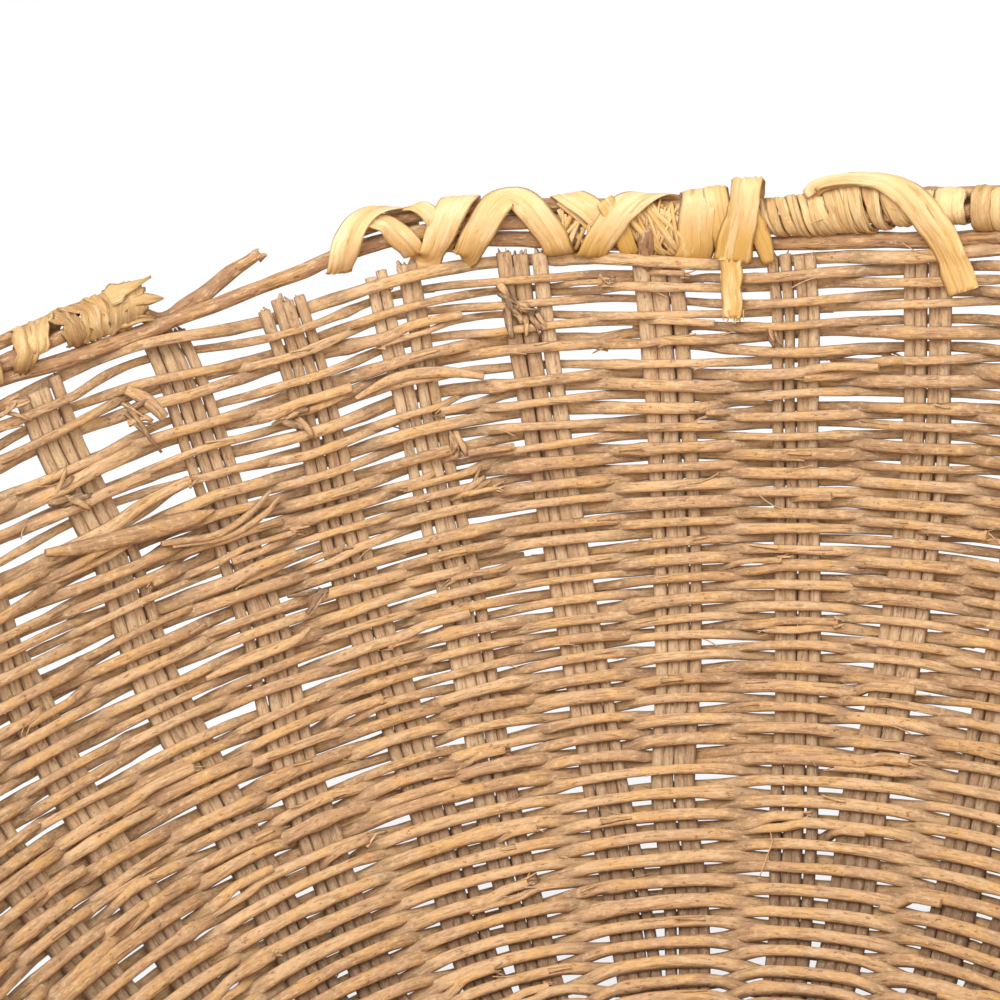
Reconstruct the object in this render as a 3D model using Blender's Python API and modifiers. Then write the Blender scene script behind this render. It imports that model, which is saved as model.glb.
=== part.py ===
# A round, flaring foraging basket of thin willow rods, with a rim of three rods bound with bast.
# Groups of rods run flat from rim to rim across a woven square mat, and fork on the way up.
# Each woven course stands for a few rows of the rods that go over and under these groups.
# Metres, +Z up, origin on the floor under the middle of the mat. Angles run from +Y towards +X.
import math

import bmesh
import bpy
import numpy as np

OBJECT_NAME = "mushroom_foraging_basket"

# Groups of rods that stand up in the wall
GROUP_THICKNESS = 0.0029
GROUP_WIDTH_MAT = 0.0103
GROUP_WIDTH_RIM = 0.0122
CLEARANCE = 0.0003

# The mat, where five double groups cross five others
SPOKES_EACH_WAY = 5
MAT_GAP = 0.0064
MAT_MARGIN = 0.0010
BASE_RISE = 0.0018

# The side of the bowl, measured along its slope
BEND_RADIUS = 0.040
WALL_SLANT = 0.172
WALL_WEAVE_SLANT = 0.132
WALL_LEAN_SHARES = ((0.0, 46.0), (0.36, 36.6), (0.68, 17.1), (1.0, 14.8))
PROFILE_STEPS = 400

# How far apart the two groups of a spoke stand, as a share of the room that the spoke has
FORK_SHARES = (0.33, 0.43, 0.50)

# The weave
BASE_COURSES = 5
WALL_COURSES = 10
WEAVE_THICKNESS = 0.0028
COURSE_GAP = 0.0006
COURSE_GAP_RIM = 0.0020
STAKE_STAND_OUT = 0.0030
WAVE_MARGIN_SHARE = 0.30

# The three rods of the rim
LOWER_ROD_RADIUS = 0.0020
UPPER_ROD_RADIUS = 0.0018
RIM_ROD_POINTS = 60
INNER_ROD_ENDS = (-17.0, 331.0)
OUTER_ROD_ENDS = (-17.0, 328.5)
BROKEN_TIP_TURN = 5.6
BROKEN_TIP_RISE = 0.0050

# Bindings round the rim: flat strips wound openly, and sleeves of bast wound close
STRIP_WIDTH = 0.0076
STRIP_THICKNESS = 0.0005
STRIP_TURNS = 8
STRIP_POINTS_PER_TURN = 10
STRIP_ENDS = ((-18.3, 7.6), (64.0, 94.0), (160.0, 190.0))
BAST_THICKNESS = 0.0006
BAST_CORNERS = 10
BAST_STEP_ANGLE = 6.0
BAST_ENDS = ((12.6, 23.0), (24.0, 61.0), (97.0, 141.0), (206.0, 252.0), (290.0, 328.0))
KNOT_WIDTH = 0.0100
KNOT_ANGLE = 10.1
KNOT_TURNS = 1.4
KNOT_THICKNESS = 0.0010
TAIL_LENGTH = 0.0175
TAIL_STEPS = 3
LAID_STRIP_WIDTH = 0.0078
LAID_STRIP_THICKNESS = 0.0012
LAID_STRIP_ENDS = (15.8, 26.0)
LAID_STRIP_DROP = 0.0190
LAID_STRIP_STEPS = 8

WILLOW_STAKE = ("willow_stake", (0.400, 0.240, 0.120), 0.75)
WILLOW_WEAVER = ("willow_weaver", (0.460, 0.280, 0.140), 0.70)
WILLOW_RIM = ("willow_rim", (0.430, 0.220, 0.090), 0.65)
PALE_STRIP = ("pale_strip", (0.760, 0.560, 0.280), 0.55)
BAST = ("bast", (0.560, 0.380, 0.190), 0.80)

# Sizes that follow from the ones above
pairs = 4 * SPOKES_EACH_WAY
pairTurn = 2 * math.pi / pairs
half = SPOKES_EACH_WAY // 2
matPitch = 2 * GROUP_WIDTH_MAT + MAT_GAP
matOffset = (GROUP_THICKNESS + CLEARANCE) / 2
matLevel = GROUP_THICKNESS + CLEARANCE / 2
matMargin = WAVE_MARGIN_SHARE * GROUP_THICKNESS
flatRadius = math.sqrt(2) * (half * matPitch + GROUP_WIDTH_MAT) + MAT_MARGIN
leanShares = [share for share, lean in WALL_LEAN_SHARES]
leanAngles = [math.radians(lean) for share, lean in WALL_LEAN_SHARES]
bendArc = BEND_RADIUS * (math.pi / 2 - leanAngles[0])
rimSlant = bendArc + WALL_SLANT
weaveSlant = rimSlant - WALL_WEAVE_SLANT
weaveOffset = (GROUP_THICKNESS + WEAVE_THICKNESS) / 2 + CLEARANCE
weaveMargin = WAVE_MARGIN_SHARE * WEAVE_THICKNESS

# Rods of the rim, placed from the middle of the lower one
upperSpread = UPPER_ROD_RADIUS + CLEARANCE / 2
upperHeight = math.sqrt((LOWER_ROD_RADIUS + UPPER_ROD_RADIUS + CLEARANCE) ** 2 - upperSpread ** 2)
bundleMiddle = (upperHeight + UPPER_ROD_RADIUS - LOWER_ROD_RADIUS) / 2
bundleReach = math.hypot(upperSpread, upperHeight - bundleMiddle) + UPPER_ROD_RADIUS


def polygonReach(reach, corners):
    # radius of a regular polygon whose flats stay clear of a circle
    return reach / math.cos(math.pi / corners)


stripReach = polygonReach(bundleReach + CLEARANCE + STRIP_THICKNESS / 2, STRIP_POINTS_PER_TURN)
bastReach = polygonReach(bundleReach + CLEARANCE + BAST_THICKNESS / 2, BAST_CORNERS)
knotReach = polygonReach(bundleReach + CLEARANCE + KNOT_THICKNESS / 2, STRIP_POINTS_PER_TURN)
widestReach = max(stripReach + STRIP_THICKNESS / 2, bastReach + BAST_THICKNESS / 2,
                  knotReach + KNOT_THICKNESS / 2)

# The profile of the bowl: its lean from the upright is added up along the slope
slants = np.linspace(0, rimSlant, PROFILE_STEPS + 1)
leanPlaces = [0] + [bendArc + share * WALL_SLANT for share in leanShares]
leans = np.interp(slants, leanPlaces, [math.pi / 2] + leanAngles)
midLeans = (leans[1:] + leans[:-1]) / 2
radii = flatRadius + np.concatenate([[0], np.cumsum(np.sin(midLeans) * np.diff(slants))])
rises = np.concatenate([[0], np.cumsum(np.cos(midLeans) * np.diff(slants))])
rimRadius = float(radii[-1])
rimLevel = matLevel + BASE_RISE + float(rises[-1])
rimLean = float(leans[-1])

# The wall's groups end just under the lowest point of the rim's bindings
bindingDrop = widestReach - bundleMiddle + CLEARANCE
stakeDrop = bindingDrop + math.sin(rimLean) * GROUP_THICKNESS / 2
stakeTop = rimSlant - stakeDrop / math.cos(rimLean)
wallTop = stakeTop - STAKE_STAND_OUT

baseStations = np.linspace(0, weaveSlant, BASE_COURSES + 1)
wallStations = np.linspace(weaveSlant, wallTop, WALL_COURSES + 1)


def bowl(slant):
    # radius, height and lean of the bowl's middle surface at a place along its slope
    if slant < 0:
        return flatRadius + slant, matLevel + BASE_RISE, math.pi / 2
    radius = float(np.interp(slant, slants, radii))
    level = matLevel + BASE_RISE + float(np.interp(slant, slants, rises))
    return radius, level, float(np.interp(slant, slants, leans))


def onFacet(pair, across, slant, out):
    # the bowl has one flat facet for each pair: across runs along it, out is away from the inside
    radius, level, lean = bowl(slant)
    angle = pair * pairTurn
    away = radius + out * math.cos(lean)
    x = away * math.sin(angle) + across * math.cos(angle)
    y = away * math.cos(angle) - across * math.sin(angle)
    return x, y, level - out * math.sin(lean)


def groupWidth(slant):
    share = min(max(slant / stakeTop, 0), 1)
    return GROUP_WIDTH_MAT + (GROUP_WIDTH_RIM - GROUP_WIDTH_MAT) * share


def groupPlace(slant):
    # distance from the middle of the facet to the middle of one of its two groups
    room = 2 * bowl(slant)[0] * math.tan(pairTurn / 2)
    places = [baseStations[1], weaveSlant, stakeTop]
    apart = room * float(np.interp(slant, places, FORK_SHARES))
    return max(apart, groupWidth(slant)) / 2


def ribbon(shape, firstEdge, secondEdge, closed=False):
    # a strip of faces between two edges that have as many points
    first = [shape.verts.new(point) for point in firstEdge]
    second = [shape.verts.new(point) for point in secondEdge]
    count = len(first)
    for i in range(count if closed else count - 1):
        j = (i + 1) % count
        shape.faces.new((first[i], first[j], second[j], second[i]))


def material(look):
    name, colour, roughness = look
    made = bpy.data.materials.get(name)
    if made is None:
        made = bpy.data.materials.new(name)
        made.use_nodes = True
        shader = made.node_tree.nodes["Principled BSDF"]
        shader.inputs["Base Color"].default_value = (*colour, 1.0)
        shader.inputs["Roughness"].default_value = roughness
        shader.inputs["Metallic"].default_value = 0.0
    return made


def keep(name, data, look):
    # puts a piece in the basket's collection with its material
    piece = bpy.data.objects.new(name, data)
    piece.data.materials.append(material(look))
    basket.objects.link(piece)
    return piece


def flatPiece(name, shape, thickness, look):
    # gives an open surface its thickness, half to each side
    bmesh.ops.remove_doubles(shape, verts=shape.verts, dist=CLEARANCE / 10)
    bmesh.ops.recalc_face_normals(shape, faces=shape.faces)
    mesh = bpy.data.meshes.new(name)
    shape.to_mesh(mesh)
    shape.free()
    piece = keep(name, mesh, look)
    solid = piece.modifiers.new("thickness", "SOLIDIFY")
    solid.thickness = thickness
    solid.offset = 0
    solid.use_even_offset = True
    return piece


def matStation(turn, index, along, across, level):
    # a point of the mat, before and after a quarter turn
    x = index * matPitch + across
    angle = turn * pairTurn
    turned = (x * math.cos(angle) + along * math.sin(angle),
              along * math.cos(angle) - x * math.sin(angle))
    return *turned, matLevel + level


def spokeEdge(turn, index, side, outer):
    # one long edge of one group of rods, from its end at the rim across the mat to the other end
    points = []
    stations = [*baseStations, *wallStations[1:-1], stakeTop]
    farPair = 2 * SPOKES_EACH_WAY - index + turn
    nearPair = index + turn
    for pair, flip, order in ((farPair, -1, reversed(stations)), (nearPair, 1, stations)):
        arm = []
        for slant in order:
            if slant <= baseStations[1]:
                across = GROUP_WIDTH_MAT if outer else 0
            else:
                width = groupWidth(slant) / 2
                across = groupPlace(slant) + (width if outer else -width)
            arm.append(onFacet(pair, flip * side * across, slant, 0))
        if flip == 1:
            lift = 1 if turn == 0 else -1
            for crossing in range(-half, half + 1):
                level = lift * (-1) ** (crossing + index) * matOffset
                across = side * (GROUP_WIDTH_MAT if outer else 0)
                for edge in (-1, 1):
                    along = crossing * matPitch + edge * (GROUP_WIDTH_MAT + matMargin)
                    points.append(matStation(turn, index, along, across, level))
        points.extend(arm)
    return points


def makeSpokes():
    for turn, way in ((0, "lengthwise"), (SPOKES_EACH_WAY, "crosswise")):
        for index in range(-half, half + 1):
            shape = bmesh.new()
            for side in (-1, 1):
                ribbon(shape, spokeEdge(turn, index, side, True), spokeEdge(turn, index, side, False))
            flatPiece(f"spoke_{way}_{index + half + 1}", shape, GROUP_THICKNESS, WILLOW_STAKE)


def courseEdge(slant, number, single):
    # a ring that passes inside one group of rods and outside the next
    points = []
    for pair in range(pairs):
        place = groupPlace(slant)
        width = groupWidth(slant) / 2
        crossings = ((-place, width), (place, width)) if single else ((0, place + width),)
        for order, (middle, reach) in enumerate(crossings):
            side = (-1) ** (number + pair * len(crossings) + order)
            for edge in (-1, 1):
                across = middle + edge * (reach + weaveMargin)
                points.append(onFacet(pair, across, slant, side * weaveOffset))
    return points


def courseGap(slant):
    # the rows of the wall stand further apart towards the rim
    share = min(max((slant - weaveSlant) / (wallTop - weaveSlant), 0), 1)
    return COURSE_GAP + (COURSE_GAP_RIM - COURSE_GAP) * share


def makeCourses(kind, stations, single):
    for number in range(len(stations) - 1):
        low = stations[number] + courseGap(stations[number]) / 2
        high = stations[number + 1] - courseGap(stations[number + 1]) / 2
        shape = bmesh.new()
        ribbon(shape, courseEdge(low, number, single), courseEdge(high, number, single), closed=True)
        flatPiece(f"{kind}_course_{number + 1}", shape, WEAVE_THICKNESS, WILLOW_WEAVER)


def onRim(angle, away, up):
    # a point placed from the middle of the lower rim rod: away from the axis, and up
    reach = rimRadius + away
    return reach * math.sin(angle), reach * math.cos(angle), rimLevel + up


def rod(name, points, radius, closed):
    curve = bpy.data.curves.new(name, "CURVE")
    curve.dimensions = "3D"
    curve.bevel_depth = radius
    curve.bevel_resolution = 1
    curve.use_fill_caps = not closed
    spline = curve.splines.new("POLY")
    spline.points.add(len(points) - 1)
    for place, point in zip(spline.points, points):
        place.co = (*point, 1.0)
    spline.use_cyclic_u = closed
    spline.use_smooth = True
    return keep(name, curve, WILLOW_RIM)


def makeRimRods():
    angles = [2 * math.pi * i / RIM_ROD_POINTS for i in range(RIM_ROD_POINTS)]
    rod("rim_rod_lower", [onRim(angle, 0, 0) for angle in angles], LOWER_ROD_RADIUS, True)
    outer = np.radians(np.linspace(*OUTER_ROD_ENDS, RIM_ROD_POINTS))
    rod("rim_rod_outer", [onRim(a, upperSpread, upperHeight) for a in outer], UPPER_ROD_RADIUS, False)
    # the inner rod is broken, and its end springs up out of the rim
    inner = np.radians(np.linspace(*INNER_ROD_ENDS, RIM_ROD_POINTS))
    points = [onRim(angle, -upperSpread, upperHeight) for angle in inner]
    tip = math.radians(INNER_ROD_ENDS[1] + BROKEN_TIP_TURN)
    points.append(onRim(tip, -upperSpread, upperHeight + BROKEN_TIP_RISE))
    rod("rim_rod_inner", points, UPPER_ROD_RADIUS, False)


def rimRibbon(name, stations, width, thickness, look):
    # a strip whose width runs along the rim; a station is an angle, away and up
    turn = width / 2 / rimRadius
    shape = bmesh.new()
    ribbon(shape, [onRim(angle - turn, away, up) for angle, away, up in stations],
           [onRim(angle + turn, away, up) for angle, away, up in stations])
    flatPiece(name, shape, thickness, look)


def roundBundle(turned, reach):
    # away and up of a point that has turned round the bundle of rods from its outermost side
    return reach * math.cos(turned), bundleMiddle + reach * math.sin(turned)


def makeStrips():
    for number, ends in enumerate(STRIP_ENDS):
        count = STRIP_TURNS * STRIP_POINTS_PER_TURN
        angles = np.radians(np.linspace(*ends, count + 1))
        stations = []
        for i, angle in enumerate(angles):
            stations.append((angle, *roundBundle(2 * math.pi * i / STRIP_POINTS_PER_TURN, stripReach)))
        rimRibbon(f"binding_strip_{number + 1}", stations, STRIP_WIDTH, STRIP_THICKNESS, PALE_STRIP)


def makeBast():
    for number, (start, end) in enumerate(BAST_ENDS):
        steps = max(2, round((end - start) / BAST_STEP_ANGLE))
        angles = np.radians(np.linspace(start, end, steps + 1))
        shape = bmesh.new()
        rings = []
        for corner in range(BAST_CORNERS):
            away, up = roundBundle(2 * math.pi * corner / BAST_CORNERS, bastReach)
            rings.append([onRim(angle, away, up) for angle in angles])
        for corner in range(BAST_CORNERS):
            ribbon(shape, rings[corner], rings[(corner + 1) % BAST_CORNERS])
        flatPiece(f"bast_wrap_{number + 1}", shape, BAST_THICKNESS, BAST)


def hangingPlace(drop, thickness):
    # away and up of a strip that lies against the inside of the wall, a drop under the rim
    slant = rimSlant - drop / math.cos(rimLean)
    radius, level, lean = bowl(slant)
    front = weaveOffset + WEAVE_THICKNESS / 2 + CLEARANCE + thickness / 2
    return radius - front * math.cos(lean) - rimRadius, level + front * math.sin(lean) - rimLevel


def makeKnot():
    # wound round the rim, then left hanging inside the wall
    angle = math.radians(KNOT_ANGLE)
    start = math.pi - 2 * math.pi * KNOT_TURNS
    count = round(KNOT_TURNS * STRIP_POINTS_PER_TURN)
    stations = []
    for i in range(count + 1):
        share = i / count
        reach = knotReach + 2 * KNOT_THICKNESS * share
        turned = start + (math.pi - start) * share
        stations.append((angle, *roundBundle(turned, reach)))
    first = bindingDrop + GROUP_THICKNESS
    for i in range(TAIL_STEPS + 1):
        drop = first + (TAIL_LENGTH - first) * i / TAIL_STEPS
        stations.append((angle, *hangingPlace(drop, KNOT_THICKNESS)))
    rimRibbon("binding_knot", stations, KNOT_WIDTH, KNOT_THICKNESS, PALE_STRIP)


def makeLaidStrip():
    # a broad strip laid over the bast, whose cut end hangs inside the wall
    reach = polygonReach(bastReach + BAST_THICKNESS / 2 + CLEARANCE + LAID_STRIP_THICKNESS / 2,
                         2 * LAID_STRIP_STEPS)
    stations = []
    for i in range(LAID_STRIP_STEPS + 1):
        share = i / LAID_STRIP_STEPS
        turned = math.pi / 2 * (1 + share)
        stations.append((share, *roundBundle(turned, reach)))
    first = bindingDrop + GROUP_THICKNESS
    for i in range(TAIL_STEPS + 1):
        drop = first + (LAID_STRIP_DROP - first) * i / TAIL_STEPS
        stations.append((1 + (i + 1) / TAIL_STEPS, *hangingPlace(drop, LAID_STRIP_THICKNESS)))
    last = stations[-1][0]
    start, end = (math.radians(angle) for angle in LAID_STRIP_ENDS)
    placed = [(start + (end - start) * share / last, away, up) for share, away, up in stations]
    rimRibbon("laid_strip", placed, LAID_STRIP_WIDTH, LAID_STRIP_THICKNESS, PALE_STRIP)


for old in list(bpy.data.objects):
    bpy.data.objects.remove(old, do_unlink=True)
basket = bpy.data.collections.new(OBJECT_NAME)
bpy.context.scene.collection.children.link(basket)
makeSpokes()
makeCourses("base", baseStations, False)
makeCourses("wall", wallStations, True)
makeRimRods()
makeStrips()
makeBast()
makeKnot()
makeLaidStrip()
print(f"rim radius {rimRadius:.4f}, rim level {rimLevel:.4f}, flat radius {flatRadius:.4f}")
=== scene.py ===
import math

import bpy
import numpy as np
from mathutils import Matrix, Vector


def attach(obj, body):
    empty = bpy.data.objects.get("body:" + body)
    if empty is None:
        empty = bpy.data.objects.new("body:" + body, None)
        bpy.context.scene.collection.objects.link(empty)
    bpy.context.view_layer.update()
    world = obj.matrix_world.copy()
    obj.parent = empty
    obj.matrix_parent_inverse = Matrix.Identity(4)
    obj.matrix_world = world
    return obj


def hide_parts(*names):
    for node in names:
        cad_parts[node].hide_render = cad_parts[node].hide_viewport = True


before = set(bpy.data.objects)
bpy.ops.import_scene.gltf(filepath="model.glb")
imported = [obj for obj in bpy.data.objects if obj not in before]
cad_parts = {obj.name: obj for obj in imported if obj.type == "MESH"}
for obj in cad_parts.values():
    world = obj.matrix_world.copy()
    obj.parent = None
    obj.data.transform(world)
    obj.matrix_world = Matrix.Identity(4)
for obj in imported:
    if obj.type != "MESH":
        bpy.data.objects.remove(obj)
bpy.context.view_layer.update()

# Sizes are in metres and angles in degrees. Angles round the basket run from +Y towards +X. A place up
# the wall is its slant: the way along the slope from the edge of the flat bottom.
bowl = {"flatRadius": 0.09193, "flatLevel": 0.00485, "bendArc": 0.03072, "wallSlant": 0.172,
        "leanShares": (0.0, 0.36, 0.68, 1.0), "leans": (46.0, 36.6, 17.1, 14.8),
        "roundness": 0.0035, "roundnessReach": 0.05, "weaveStart": 0.07072, "stakeTop": 0.19748,
        "wallTop": 0.19448, "rimSlant": 0.20272, "rimRadius": 0.2004, "rimMiddle": 0.1660,
        "profileTop": 0.216, "profilePlaces": 433}
groups = {"widthMat": 0.0103, "widthRim": 0.0122, "matPitch": 0.0270, "matLevel": 0.00305,
          "matOffset": 0.0016, "matReach": 0.0655, "matPlaces": 61, "matSharpness": 4.5,
          "forkShares": (0.33, 0.43, 0.50), "forkStart": 0.01414, "turn": 4.5}
pairTurn = 18.0
pairCount = 20

# How far the rim rises or sinks, in millimetres, at some angles
rimWave = {"angles": (-180, -140, -100, -60, -42, -39, -35, -32, -23, -18, -13, -6, 1, 8, 12, 15, 18,
                      22, 28, 60, 100, 140, 180),
           "lifts": (0.6, -1.2, 0.8, -0.6, -1.0, 0.5, 1.5, 3.0, -0.7, 1.5, 4.3, 3.0, 0.0, -2.9, -4.0,
                     -2.9, -2.1, -2.4, 0.0, 1.0, -1.0, 1.2, 0.6),
           "evenedOver": 3, "fade": 0.090}

# Where the lower rod of the rim lies, in millimetres from the middle of the rim's bundle
lowerRod = {"angles": (-180, -60, -46, -42.6, -38.2, -34, -31.5, -26.7, -24.1, -18.2, -15.6, -13.2,
                       -9.7, -6.3, -2.2, 2, 7.5, 12.4, 17.9, 23.8, 30, 40, 180),
            "ups": (-4.8, -5.0, -4.4, -3.8, -6.2, -6.8, -6.8, -3.9, -2.2, -0.6, -0.6, -1.2,
                    -3.8, -5.0, -6.0, -6.2, -6.3, -6.0, -7.2, -7.4, -7.2, -5.4, -4.8),
            "evenedOver": 1.5,
            "awayAngles": (-180, -45, -36, -27, -22, 180), "aways": (0.0, -0.6, -2.8, -2.6, 0.0, 0.0)}


def slowNoise(place, spacing, seed):
    # random heights from -1 to 1 every spacing along the place, joined by smooth steps
    steps = np.asarray(place, float) / spacing
    low = np.floor(steps).astype(int)
    share = steps - low
    share = share * share * (3 - 2 * share)
    heights = np.random.default_rng(seed).uniform(-1, 1, 1024)
    return heights[low % 1024] * (1 - share) + heights[(low + 1) % 1024] * share


def kinks(angle, count, seed):
    # random heights from -1 to 1 at a count of places round the turn, joined by straight lines
    steps = np.asarray(angle, float) / 360 * count
    low = np.floor(steps).astype(int)
    heights = np.random.default_rng(seed).uniform(-1, 1, count)
    return heights[low % count] * (1 - steps + low) + heights[(low + 1) % count] * (steps - low)


def smoothStep(value):
    # 0 below 0, 1 above 1, and a smooth slope between them
    value = np.clip(value, 0, 1)
    return value * value * (3 - 2 * value)


# The profile of the bowl: its lean from the upright is added up along the slope
profileSlants = np.linspace(0, bowl["profileTop"], bowl["profilePlaces"])
leanPlaces = [0] + [bowl["bendArc"] + share * bowl["wallSlant"] for share in bowl["leanShares"]]
profileLeans = np.radians(np.interp(profileSlants, leanPlaces, [90.0] + list(bowl["leans"])))
midLeans = (profileLeans[1:] + profileLeans[:-1]) / 2
profileSteps = np.diff(profileSlants)
profileRadii = bowl["flatRadius"] + np.concatenate([[0], np.cumsum(np.sin(midLeans) * profileSteps)])
profileRises = np.concatenate([[0], np.cumsum(np.cos(midLeans) * profileSteps)])


def bowlRadius(slant):
    # radius of the bowl at a place along its slope; the flat bottom has places below 0
    return np.interp(slant, profileSlants, profileRadii) + np.minimum(slant, 0)


def evened(angle, over, angles, values):
    # a table read at an angle: the mean of seven places, from over degrees before it to over degrees after
    turned = (np.asarray(angle, float) + 180) % 360 - 180
    offsets = np.linspace(-over, over, 7)[:, None]
    near = np.interp((turned.reshape(1, -1) + offsets + 180) % 360 - 180, angles, values)
    return near.mean(axis=0).reshape(turned.shape)


def waveLift(angle):
    # the rim's rise at an angle, in metres
    return evened(angle, rimWave["evenedOver"], rimWave["angles"], rimWave["lifts"]) / 1000


def onBowl(angle, slant, out):
    # a point of the wall, out metres away from the middle of its thickness: its radius is the profile's
    # plus out cos lean, its level the profile's less out sin lean, lifted with the rim near the top
    angle, slant, out = np.broadcast_arrays(np.asarray(angle, float), slant, out)
    lean = np.interp(slant, profileSlants, profileLeans)
    swell = bowl["roundness"] * np.clip(slant / bowl["roundnessReach"], 0, 1)
    radius = bowlRadius(slant) * (1 + swell)
    level = bowl["flatLevel"] + np.interp(slant, profileSlants, profileRises)
    share = smoothStep((slant - bowl["rimSlant"] + rimWave["fade"]) / rimWave["fade"])
    away = radius + out * np.cos(lean)
    turn = np.radians(angle)
    return np.stack([away * np.sin(turn), away * np.cos(turn),
                     level - out * np.sin(lean) + waveLift(angle) * share], axis=-1)


def bowlNormal(angle, slant):
    # direction square to the wall, away from the inside
    angle, slant = np.broadcast_arrays(np.asarray(angle, float), slant)
    lean = np.interp(slant, profileSlants, profileLeans)
    turn = np.radians(angle)
    return np.stack([np.cos(lean) * np.sin(turn), np.cos(lean) * np.cos(turn), -np.sin(lean)], axis=-1)


def onRim(angle, away, up):
    # a point placed from the middle of the rim's bundle: away from the axis, and up
    angle, away, up = np.broadcast_arrays(np.asarray(angle, float), away, up)
    turn = np.radians(angle)
    reach = bowl["rimRadius"] + away
    return np.stack([reach * np.sin(turn), reach * np.cos(turn),
                     bowl["rimMiddle"] + up + waveLift(angle)], axis=-1)


def unit(rows):
    # each row divided by its length
    return rows / np.maximum(np.linalg.norm(rows, axis=-1, keepdims=True), 1e-9)


def throughPoints(points, step):
    # a smooth curve through the points: Catmull-Rom pieces, read at a steady step
    points = np.asarray(points, float)
    padded = np.concatenate([2 * points[:1] - points[1:2], points, 2 * points[-1:] - points[-2:-1]])
    share = np.linspace(0, 1, 12, endpoint=False)[:, None, None]
    p0, p1, p2, p3 = (padded[i:len(padded) - 3 + i][None] for i in range(4))
    curve = 0.5 * (2 * p1 + (p2 - p0) * share + (2 * p0 - 5 * p1 + 4 * p2 - p3) * share ** 2
                   + (3 * p1 - p0 - 3 * p2 + p3) * share ** 3)
    dense = np.concatenate([curve.transpose(1, 0, 2).reshape(-1, points.shape[1]), points[-1:]])
    return evenly(dense, step)


def lengthsAlong(points):
    # each point's way along the line: the sum of the steps before it
    return np.concatenate([[0], np.cumsum(np.linalg.norm(np.diff(points, axis=0), axis=1))])


def evenly(dense, step):
    # the same line with points a steady step apart, measured on its first three columns
    lengths = lengthsAlong(dense[:, :3])
    count = max(3, int(round(lengths[-1] / step)) + 1)
    places = np.linspace(0, lengths[-1], count)
    return np.stack([np.interp(places, lengths, column) for column in dense.T], axis=1)


def loft(points, normals, side, rise, tone, wear, closed, seed):
    # rings of faces along a line: a ring's point is the centre + side B + rise N, where N is the normal
    # made square to the line and B is N x T. The ends are fans round the line's last points.
    count, sides = side.shape
    if closed:
        tangents = unit(np.roll(points, -1, axis=0) - np.roll(points, 1, axis=0))
    else:
        tangents = unit(np.gradient(points, axis=0))
    normals = unit(normals - (normals * tangents).sum(axis=1, keepdims=True) * tangents)
    across = np.cross(normals, tangents)
    rings = points[:, None, :] + side[..., None] * across[:, None, :]
    rings = rings + rise[..., None] * normals[:, None, :]
    along = lengthsAlong(points)
    offset = np.random.default_rng(seed).uniform(0, 3)
    grain = np.stack([side, rise, np.broadcast_to(along[:, None] + offset, side.shape)], axis=-1)
    vertices, grain = rings.reshape(-1, 3), grain.reshape(-1, 3)
    tone = np.repeat(np.broadcast_to(np.asarray(tone, float), (count,)), sides)
    wear = np.asarray(wear, float)
    wear = np.broadcast_to(wear if wear.ndim == 2 else wear[..., None], side.shape).ravel()
    rows = np.arange(count if closed else count - 1)[:, None]
    columns = np.arange(sides)[None, :]
    nextRow, nextColumn = (rows + 1) % count, (columns + 1) % sides
    quads = np.stack([rows * sides + columns, rows * sides + nextColumn,
                      nextRow * sides + nextColumn, nextRow * sides + columns], axis=-1)
    far = np.concatenate([along[1:], [along[-1] + np.linalg.norm(points[0] - points[-1])]])
    shape = (len(rows), sides)
    nearU, farU = (np.broadcast_to(a[:len(rows), None], shape) for a in (along, far))
    lowV, highV = (np.broadcast_to((columns + i) / sides, shape) for i in (0, 1))
    corners = np.stack([np.stack([nearU, lowV], -1), np.stack([nearU, highV], -1),
                        np.stack([farU, highV], -1), np.stack([farU, lowV], -1)], axis=2)
    made = {"vertices": vertices, "grain": grain, "tone": tone, "wear": wear,
            "quads": quads.reshape(-1, 4), "corners": corners.reshape(-1, 2),
            "triangles": np.zeros((0, 3), int), "triangleCorners": np.zeros((0, 2))}
    if not closed:
        first, last, end = len(vertices), len(vertices) + 1, (count - 1) * sides
        j = np.arange(sides)
        k = (j + 1) % sides
        made["vertices"] = np.concatenate([vertices, points[:1], points[-1:]])
        made["grain"] = np.concatenate([grain, [[0, 0, offset], [0, 0, along[-1] + offset]]])
        made["tone"] = np.concatenate([tone, tone[[0, -1]]])
        made["wear"] = np.concatenate([wear, wear[[0, -1]]])
        made["triangles"] = np.concatenate([np.stack([np.full(sides, first), k, j], 1),
                                            np.stack([np.full(sides, last), end + j, end + k], 1)])
        around = np.stack([np.zeros(sides), j / sides], 1)
        made["triangleCorners"] = np.tile(np.repeat(around, 3, axis=0), (2, 1))
    return made


# A rod's skin: how long its ridges are and how fast they turn round it, how far its ends reach past the
# line and how much they narrow, and how much painted shade darkens its sides
skin = {"ridgeLength": 0.0045, "twist": 90, "endShare": 0.3, "endMost": 0.0006, "endWidth": 0.82,
        "sideShade": 0.85}


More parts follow.
